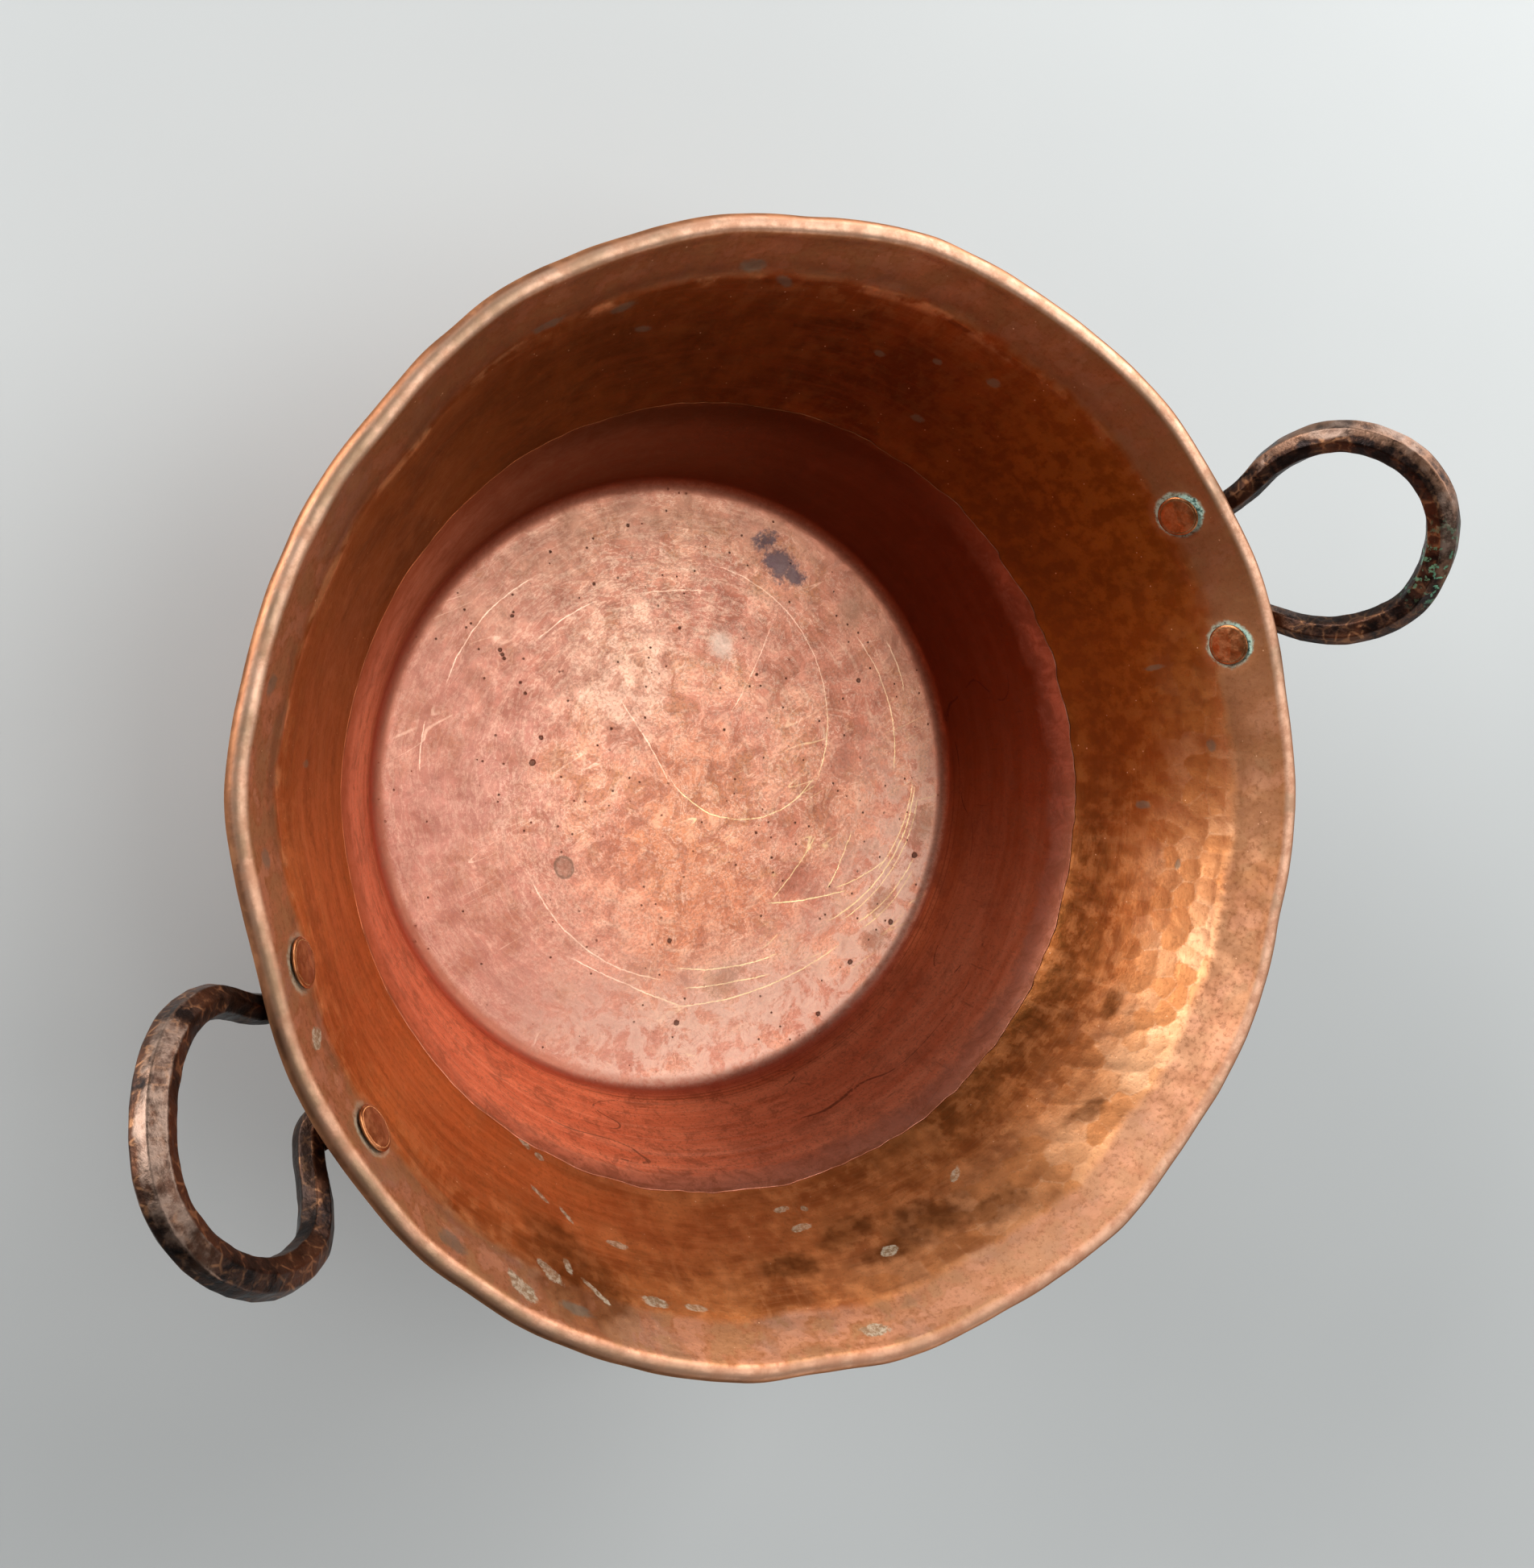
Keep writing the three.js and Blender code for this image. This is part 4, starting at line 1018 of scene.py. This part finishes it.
def make_pan(material):
    """The floor, its round corner and the lower wall, inside and outside, as rings from pole to pole: flat,
    then an arc, then a cone up to the cut edge. Blows dent the floor downwards and the wall outwards, and the
    lip is thinned by a square law over the last millimetres under its edge."""
    azimuth = np.linspace(0, 2 * pi, 640, endpoint=False)[None, :]
    u = azimuth / (2 * pi)
    edge = cut_edge(azimuth)
    centre_radius = pan_radius(PAN_SHEET) - CORNER_RADIUS * tan((pi / 2 - PAN_SLOPE) / 2)
    centre_height = PAN_SHEET + CORNER_RADIUS
    side = np.array([cos(PAN_SLOPE), -sin(PAN_SLOPE)])

    def shell(inset, floor_rings, corner_rings, wall_rings):
        """Radii and heights of one side of the sheet, inset from the inside by a share of its thickness."""
        away = inset * PAN_SHEET
        flat = np.linspace(0, centre_radius, floor_rings)[1:-1]
        corner_r, corner_z = arc_points(
            centre_radius, centre_height, CORNER_RADIUS + away, -pi / 2, -PAN_SLOPE, corner_rings
        )
        share = np.append(np.linspace(0, 0.998, wall_rings)[1:], 1)[:, None]
        start = corner_z[-1]
        top = edge + away * side[1]
        wall_z = start + share * (top - start)
        wall_r = corner_r[-1] + (wall_z - start) * tan(PAN_SLOPE)
        width = azimuth.size
        radius = np.concatenate([np.tile(flat[:, None], width), np.tile(corner_r[:, None], width), wall_r])
        floor_z = np.full((flat.size, width), PAN_SHEET - away)
        return radius, np.concatenate([floor_z, np.tile(corner_z[:, None], width), wall_z])

    inner_r, inner_z = shell(0, floor_rings=54, corner_rings=11, wall_rings=36)
    outer_r, outer_z = shell(1, floor_rings=16, corner_rings=7, wall_rings=22)
    x, y = inner_r * np.cos(azimuth), inner_r * np.sin(azimuth)
    reach = 0.4  # wider than the floor, so that each blow on it is a different one
    blows = hammered((x + reach / 2) / reach, y + 1, *FLOOR_BLOWS)[0]
    on_wall = np.clip((inner_z - 6 * MM) / (14 * MM), 0, 1)
    wall_blows = hammered(u + 0 * inner_r, inner_z, *PAN_WALL_BLOWS)[0]
    depth = FLOOR_BLOW_DEPTH * (1 - on_wall) * blows + PAN_WALL_BLOW_DEPTH * on_wall * wall_blows
    depth = depth + FLOOR_WAVE * (1 - on_wall) * swell(x / reach, y, 3, around=4, length=0.12)
    depth = depth * np.clip(inner_r / (6 * MM), 0, 1)
    inner_z = inner_z + depth * (1 - on_wall)
    inner_r = inner_r - depth * on_wall
    run = (9 + 9 * smoothed_lap(azimuth)) * MM
    thinning = np.clip(1 - (edge - inner_z) / run, 0, 1) ** 2 * (inner_z > CORNER_RADIUS)
    inner_r = inner_r + LIP_THINNING * thinning
    outer_r = outer_r + LIP_SPREAD * np.clip(1 - (edge - outer_z) / (5 * MM), 0, 1) * (outer_z > CORNER_RADIUS)
    lip_r = (inner_r[-1] + outer_r[-1]) / 2 + 0.1 * MM
    lip_z = (inner_z[-1] + outer_z[-1]) / 2
    radius = np.concatenate([inner_r, lip_r[None], outer_r[::-1]])
    height = np.concatenate([inner_z, lip_z[None], outer_z[::-1]])
    radius = radius + sway(azimuth, height)
    outside = np.zeros(radius.shape)
    outside[len(inner_r) + 1:] = 1
    pan = skin("lower_pan_copper", turned_points(azimuth, radius, height), outside=outside)
    fit_out(pan, "lower_pan", material)


def make_wall(material):
    """The flared wall and its rolled rim, as one closed band: up the inside, over and round the wire, back
    inside the curl, and down the outside. The inside is the wall's radius less the depth of the blows, a
    ledge and a groove that are bell curves round the crease, and a fillet of braze that dies away
    exponentially above the lip. A hyperbola eases the kink at the crease."""
    azimuth = np.linspace(0, 2 * pi, 800, endpoint=False)[None, :]
    azimuth = azimuth - 0.5 * np.sin(azimuth - radians(LIT_SIDE))  # closer together where the blows show most
    u = azimuth / (2 * pi)
    flat = np.ones_like(azimuth)
    edge = lap_height(azimuth)
    lip = cut_edge(azimuth)
    foot = edge - LAP_OVERLAP * cos(PAN_SLOPE)

    def rise(low, high, count, last=False, closer=0.0):
        """Heights from low to high, closer together near high by a share."""
        share = np.linspace(0, 1, count, endpoint=last)[:, None]
        return low + (share + closer * np.sin(pi * share) / pi) * (high - low)

    crease = CREASE_HEIGHT * flat + CREASE_WANDER * swell(u, 0 * u, 21, around=12)
    crease = crease + CREASE_WAVER * swell(u, 0 * u, 22, around=45)
    touch = (RIM_HEIGHT + ROLL_RADIUS * sin(MOUTH_SLOPE)) * flat
    inner_z = np.concatenate([
        rise(foot, lip + 0.05 * MM, 2), lip + 0.05 * MM, lip + 0.20 * MM,
        rise(lip + 0.32 * MM, crease, 54, closer=0.55), rise(crease, touch, 12),
    ])
    inner_r = wall_radius(azimuth, inner_z)
    region = 0.5 + 0.5 * np.tanh(1.6 * swell(u + 0 * inner_z, inner_z, 31, around=5))
    marked = smooth_step(np.cos(azimuth - radians(LIT_SIDE)), 0.3, 0.95) * smooth_step(inner_z, 0.102, 0.130)
    blows, blow, border = hammered(u + 0 * inner_z, inner_z, *WALL_BLOWS, lean=0.45)
    above_lap = np.clip((inner_z - edge) / (6 * MM), 0, 1)
    below_crease = smooth_step(crease - inner_z, -3 * MM, 2 * MM)
    below_rim = np.clip((touch - inner_z) / (6 * MM), 0, 1)
    strokes = hammered(u + 0 * inner_z, inner_z * 0.35, *MOUTH_STROKES)[0]
    depth = above_lap * below_crease * (0.05 + 0.05 * region + 0.13 * marked) * MM * blows
    depth = depth + (1 - below_crease) * below_rim * MOUTH_STROKE_DEPTH * strokes
    depth = depth + above_lap * below_rim * WALL_WAVE * swell(u + 0 * inner_z, inner_z, 33, terms=9, around=22)
    from_crease = inner_z - crease
    strength = np.clip(0.55 + 0.55 * swell(u, 0 * u, 35, terms=9, around=50), 0, 1.3)
    strength = strength * (0.35 + 0.65 * smooth_step(np.cos(azimuth - radians(CREASED_SIDE)), -0.3, 0.6))
    ledge = CREASE_LEDGE * np.exp(-((from_crease / (2.0 * MM)) ** 2))
    groove = CREASE_GROOVE * np.exp(-(((from_crease - 4.2 * MM) / (2.2 * MM)) ** 2))
    slope_below = (mouth_radius(CREASE_HEIGHT) - pan_radius(LAP_HEIGHT)) / (CREASE_HEIGHT - LAP_HEIGHT)
    kink = tan(MOUTH_SLOPE) - slope_below
    from_kink = inner_z - CREASE_HEIGHT
    eased = kink / 2 * (np.hypot(from_kink, KINK_EASE) - np.abs(from_kink))
    rise_from_edge = inner_z - lip
    run = (4 + 8 * smoothed_lap(azimuth)) * MM
    braze = BRAZE_FILLET * np.exp(-np.clip(rise_from_edge, 0, None) / run) * (rise_from_edge > 0.15 * MM)
    inner_r = inner_r - depth - strength * (ledge - groove) + eased - braze
    turns = pi - MOUTH_SLOPE - np.linspace(0, CURL_TURN, 19)[:, None]
    rim_blows = hammered(u + 0 * turns, 0 * turns + 4 * MM, *RIM_BLOWS)[0]
    dressed = ROLL_RADIUS + RIM_BLOW_DEPTH * rim_blows + RIM_WAVE * swell(u, 0 * u, 41, around=60)
    squash_top = 1 - 0.06 * np.clip(np.sin(turns), 0, 1) ** 4
    roll_r = ROLL_CENTRE + dressed * np.cos(turns)
    roll_z = RIM_HEIGHT + dressed * squash_top * np.sin(turns)
    back = turns[::-1][::3]
    hollow = ROLL_RADIUS - WALL_SHEET
    curl_r = ROLL_CENTRE + hollow * np.cos(back) * flat
    curl_z = RIM_HEIGHT + hollow * np.sin(back) * flat
    outer_z = rise(foot, touch, 28, last=True)[::-1][1:]
    outer_r = wall_radius(azimuth, outer_z) + WALL_SHEET / cos(MOUTH_SLOPE)
    outer_blows = hammered(u + 0 * outer_z, outer_z, *OUTSIDE_BLOWS)[0]
    outer_r = outer_r + OUTSIDE_BLOW_DEPTH * outer_blows * np.clip((touch - outer_z) / (8 * MM), 0, 1)
    sway_roll = sway(azimuth, RIM_HEIGHT)
    radius = np.concatenate([inner_r, roll_r + sway_roll, curl_r + sway_roll, outer_r])
    height = np.concatenate([inner_z, roll_z * flat, curl_z, outer_z])
    ridge, tossed, bead, outside = (np.zeros(radius.shape) for _ in range(4))
    inside, rolled = len(inner_r), len(inner_r) + len(turns)
    ridge[:inside] = border * above_lap * below_crease
    tossed[:inside] = blow
    bead[inside:rolled] = np.clip(np.sin(turns), 0, 1)
    outside[inside:rolled] = smooth_step(np.cos(turns), 0.15, 0.65)
    outside[rolled:] = 1
    points = turned_points(azimuth, radius, height)
    marks = dict(ridge=ridge, blow=tossed, bead=bead, outside=outside)
    wall = skin("wall_band_copper", points, closed=True, **marks)
    fit_out(wall, "wall_band", material)


def rivet_axis(handle, side):
    """A rivet's centre on the inside of the wall, its direction out of the pot, and two directions along
    the wall: round the pot, and up its slope. Differences across the head give the dented wall's tilt."""
    azimuth = handle["azimuth"] + side * radians(handle["rivet"])

    def mouth_point(angle, height):
        radius = float(mouth_radius(height) + sway(angle, height))
        return Vector((radius * cos(angle), radius * sin(angle), height))

    across = HEAD_RADIUS / RIM_RADIUS
    along = mouth_point(azimuth + across, RIVET_HEIGHT) - mouth_point(azimuth - across, RIVET_HEIGHT)
    rise = HEAD_RADIUS / 2
    up = mouth_point(azimuth, RIVET_HEIGHT + rise) - mouth_point(azimuth, RIVET_HEIGHT - rise)
    out = along.cross(up).normalized()
    return mouth_point(azimuth, RIVET_HEIGHT), out, along.normalized(), out.cross(along).normalized()


def make_rivet(name, handle, side, seed, material):
    """A rivet turned about its axis: a flat hammered head inside the pot, a shank, and a peened head. The
    head's outline wobbles, its edge is half an ellipse, its face a low paraboloid, and the whole head is bent
    to the wall's curve. The edge value is 1 at the rim of the head."""
    centre, out, along, up = rivet_axis(handle, side)
    angle = np.linspace(0, 2 * pi, 96, endpoint=False)[None, :]
    u = angle / (2 * pi)
    under = -0.25 * MM
    seat = WALL_SHEET + SEAT_DEPTH + LAP_GAP
    face = np.linspace(0.04, 0.86, 22)
    turn = np.linspace(pi / 2, -pi / 2, 10)
    edge_width = 0.14 * HEAD_RADIUS
    head_r = np.concatenate([face * HEAD_RADIUS, (HEAD_RADIUS - edge_width) + edge_width * np.cos(turn)])
    crown = 0.30 * MM * (1 - (face / 0.86) ** 2)
    head_z = np.concatenate(
        [under - HEAD_HEIGHT - crown, under - HEAD_HEIGHT / 2 - HEAD_HEIGHT / 2 * np.sin(turn)]
    )
    shank_z = np.linspace(under, seat, 6)
    peen_turn = np.linspace(0, pi / 2, 9)[:-1]
    radius = np.concatenate(
        [head_r, np.full(6, SHANK_RADIUS), [PEENED_RADIUS * 0.8], PEENED_RADIUS * np.cos(peen_turn)]
    )
    step = 0.2 * MM  # the peened head's straight edge
    peened_z = seat + step + (PEENED_HEIGHT - step) * np.sin(peen_turn)
    height = np.concatenate([head_z, shank_z, [seat], peened_z])
    radius, height = radius[:, None], height[:, None] + 0 * angle
    wobble = 1 + 0.022 * swell(u, 0 * u, seed, terms=5, around=5)
    spread = np.where(radius > SHANK_RADIUS, wobble, 1)
    radius = radius * spread
    x, y = radius * np.cos(angle), radius * np.sin(angle)
    dimple = hammered(0.5 + x / 0.04, y + 0.1, *HEAD_BLOWS, seed)[0]
    faces = (np.arange(len(radius)) < len(face) + 3)[:, None]
    height = height - np.where(faces, HEAD_BLOW_DEPTH * dimple, 0)
    bend = np.where(np.arange(len(radius)) < len(head_r), 1, 0)[:, None] * x**2 / (2 * RIM_RADIUS)
    points = (
        np.array(centre)
        + x[..., None] * np.array(along)
        + y[..., None] * np.array(up)
        + (height - bend)[..., None] * np.array(out)
    )
    edge = np.zeros(radius.shape)
    edge[len(face): len(head_r)] = np.sin(np.linspace(0.2, pi / 2, len(turn)))[:, None]
    rivet = skin(f"rivet_{name}_copper", points, edge=edge)
    fit_out(rivet, f"rivet_{name}", material)


# Handles


def foot_point(handle, degrees, stand, rise=0.0):
    """The middle of a foot: that far outside the wall, square to it, at degrees from the handle's middle."""
    azimuth = handle["azimuth"] + radians(degrees)
    away = WALL_SHEET + stand
    radius = float(mouth_radius(RIVET_HEIGHT) + sway(azimuth, RIVET_HEIGHT)) + away * cos(MOUTH_SLOPE)
    return (radius * cos(azimuth), radius * sin(azimuth), RIVET_HEIGHT - away * sin(MOUTH_SLOPE) + rise)


def loop_point(handle, reach_share, span_share):
    """A point of the loop's plane, which leans out from the rim by HANDLE_SLOPE above the level."""
    up = reach_share * handle["reach"]
    x = RIM_RADIUS + LOOP_STAND + up * cos(HANDLE_SLOPE)
    y = span_share * handle["span"]
    turn = handle["azimuth"]
    return (
        x * cos(turn) - y * sin(turn),
        x * sin(turn) + y * cos(turn),
        RIM_HEIGHT - LOOP_DROP + up * sin(HANDLE_SLOPE),
    )


def foot_points(handle, side):
    """From a foot's tip along the wall, round the bend and up to where the loop begins."""
    rivet = side * handle["rivet"]
    return [
        foot_point(handle, rivet + side * FOOT_LENGTH, FOOT_STAND),
        foot_point(handle, rivet, FOOT_STAND),
        foot_point(handle, rivet * 0.8, FOOT_STAND + 0.8 * MM),
        foot_point(handle, rivet * 0.64, FOOT_STAND + 5.2 * MM, 1.5 * MM),
        foot_point(handle, rivet * 0.68, FOOT_STAND + 10.8 * MM, 4.5 * MM),
    ]


def smooth_path(points, count):
    """count evenly spaced points on a centripetal Catmull-Rom curve through the points: each stretch is a
    cubic with its parameter spaced by the square root of the distance between points."""
    points = np.array(points)
    ends = np.concatenate([[2 * points[0] - points[1]], points, [2 * points[-1] - points[-2]]])
    knots = np.concatenate([[0], np.cumsum(np.linalg.norm(np.diff(ends, axis=0), axis=1) ** 0.5)])
    fine = np.linspace(knots[1], knots[-2], 4000)
    k = np.clip(np.searchsorted(knots, fine, side="right") - 1, 1, len(points) - 1)
    t = [knots[k + step] for step in (-1, 0, 1, 2)]
    p = [ends[k + step] for step in (-1, 0, 1, 2)]

    def between(a, b, low, high):
        share = ((fine - low) / (high - low))[:, None]
        return a * (1 - share) + b * share

    a = [between(p[i], p[i + 1], t[i], t[i + 1]) for i in range(3)]
    b = [between(a[i], a[i + 1], t[i], t[i + 2]) for i in range(2)]
    curve = between(b[0], b[1], t[1], t[2])
    length = np.concatenate([[0], np.cumsum(np.linalg.norm(np.diff(curve, axis=0), axis=1))])
    even = np.linspace(0, length[-1], count)
    return np.stack([np.interp(even, length, curve[:, axis]) for axis in range(3)], -1), length[-1]


def smooth_step(value, low, high):
    """0 at low, 1 at high, and between them three times the share squared less twice the share cubed."""
    share = np.clip((value - low) / (high - low), 0, 1)
    return share * share * (3 - 2 * share)


def make_handle(name, seed, material):
    """A bar forged to a rounded seven-sided section, swept along the handle's path. Its radius swells from
    the feet to the grip, hammer blows dent it, and it is pressed flat where it meets the wall."""
    handle = HANDLES[name]
    path = (
        foot_points(handle, 1)
        + [loop_point(handle, *shares) for shares in handle["loop"]]
        + foot_points(handle, -1)[::-1]
    )
    rings, sides, faces = 520, 84, 7
    line, length = smooth_path(path, rings)
    tangent = np.gradient(line, axis=0)
    tangent /= np.linalg.norm(tangent, axis=1)[:, None]
    turn = handle["azimuth"]
    plane = np.array([-sin(HANDLE_SLOPE) * cos(turn), -sin(HANDLE_SLOPE) * sin(turn), cos(HANDLE_SLOPE)])
    side = np.cross(tangent, plane)
    side /= np.linalg.norm(side, axis=1)[:, None]
    face = np.cross(side, tangent)
    share = np.linspace(0, 1, rings)[:, None]
    from_end = np.minimum(share, 1 - share)
    angle = np.linspace(0, 2 * pi, sides, endpoint=False)[None, :]
    swell_up = smooth_step(from_end, 0.12, 0.3)
    radius = FOOT_RADIUS + (GRIP_RADIUS - FOOT_RADIUS) * swell_up
    radius = radius * np.sqrt(np.clip(1 - (1 - np.clip(from_end / 0.022, 0, 1)) ** 2, 0.02, 1))
    twist = 0.25 * np.sin(2 * pi * share * 1.5 + seed) + 0.3 * share
    local = ((angle + twist) % (2 * pi / faces)) - pi / faces
    flats = cos(pi / faces) / np.cos(local)
    section = radius * (0.12 + 0.88 * flats) * 1.05
    blows = hammered(angle / (2 * pi) + 0 * share, share * length, *BAR_BLOWS, seed)[0]
    u = angle / (2 * pi)
    drift = swell(u, share * length, seed + 50, around=3, length=0.06)
    section = section + (BAR_BLOW_DEPTH * blows + BAR_WAVE * drift) * np.clip(from_end / 0.03, 0, 1)
    points = (
        line[:, None]
        + (section * np.cos(angle))[..., None] * side[:, None]
        + (section * np.sin(angle))[..., None] * face[:, None]
    )
    points = press_on_wall(points)
    for foot in (1, -1):
        points = strike_seat(points, handle, foot)
    ridge = (flats - flats.min()) / (flats.max() - flats.min())
    middle = line[rings // 5: -rings // 5].mean(0)
    away = line - middle
    away /= np.linalg.norm(away, axis=1)[:, None]
    outward = np.cos(angle) * np.einsum("ij,ij->i", side, away)[:, None] + 0.6 * np.sin(angle)
    first, last = handle["worn"]
    handled = smooth_step(share, first - 0.12, first + 0.06) * (1 - smooth_step(share, last - 0.06, last + 0.12))
    rubbed = smooth_step(outward, 0.40, 1.0) * (0.15 + 0.85 * handled) * handle["polish"]
    # The value also holds painted shade: it is lowered on the inner side of the loop.
    wear_and_shade = 0.35 * ridge**3 + 0.75 * rubbed + 0.15 * (1 + blows) - 0.1 - 0.4 * smooth_step(-outward, 0.1, 0.8)
    bar = skin(f"handle_{name}_bronze", points, ridge=wear_and_shade)
    fit_out(bar, f"handle_{name}", material)


def press_on_wall(points):
    """Moves every point that lies in the wall, or in the roll, straight out of it with a hair of room."""
    room = 0.25 * MM
    azimuth = np.arctan2(points[..., 1], points[..., 0])
    radius = np.hypot(points[..., 0], points[..., 1])
    height = points[..., 2]
    wall = wall_radius(azimuth, np.minimum(height, RIM_HEIGHT)) + (WALL_SHEET + room) / cos(MOUTH_SLOPE)
    free = np.maximum(radius, wall)
    centre = ROLL_CENTRE + sway(azimuth, RIM_HEIGHT)
    away_r, away_z = free - centre, height - RIM_HEIGHT
    away = np.hypot(away_r, away_z)
    clear = np.maximum(away, ROLL_RADIUS + room) / np.maximum(away, 1e-9)
    free, height = centre + away_r * clear, RIM_HEIGHT + away_z * clear
    return turned_points(azimuth, free, height)


def strike_seat(points, handle, side):
    """Flattens the foot round its rivet to the seat of the peened head."""
    centre, out = (np.array(v) for v in rivet_axis(handle, side)[:2])
    from_centre = points - centre
    depth = from_centre @ out
    across = np.linalg.norm(from_centre - depth[..., None] * out, axis=-1)
    seat = WALL_SHEET + SEAT_DEPTH
    hit = (across < PEENED_RADIUS + 1.2 * MM) & (depth > seat) & (depth < seat + 6 * MM)
    return points - np.where(hit, depth - seat, 0)[..., None] * out


place_camera()
lay_floor()
light_scene()

make_pan(copper_pan())
make_wall(copper_wall())
bronze = forged_bronze()
make_handle("right", 61, bronze)
make_handle("left", 62, bronze)
rivets = rivet_copper()
for handle_name in HANDLES:
    for letter, foot_side in (("a", 1), ("b", -1)):
        seed = 70 + 2 * (handle_name == "left") + (letter == "b")
        make_rivet(f"{handle_name}_{letter}", HANDLES[handle_name], foot_side, seed, rivets)
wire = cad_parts["rim_wire"]
wire.data.materials.clear()
wire.data.materials.append(drawn_iron())

bpy.context.scene.view_settings.view_transform = "Standard"
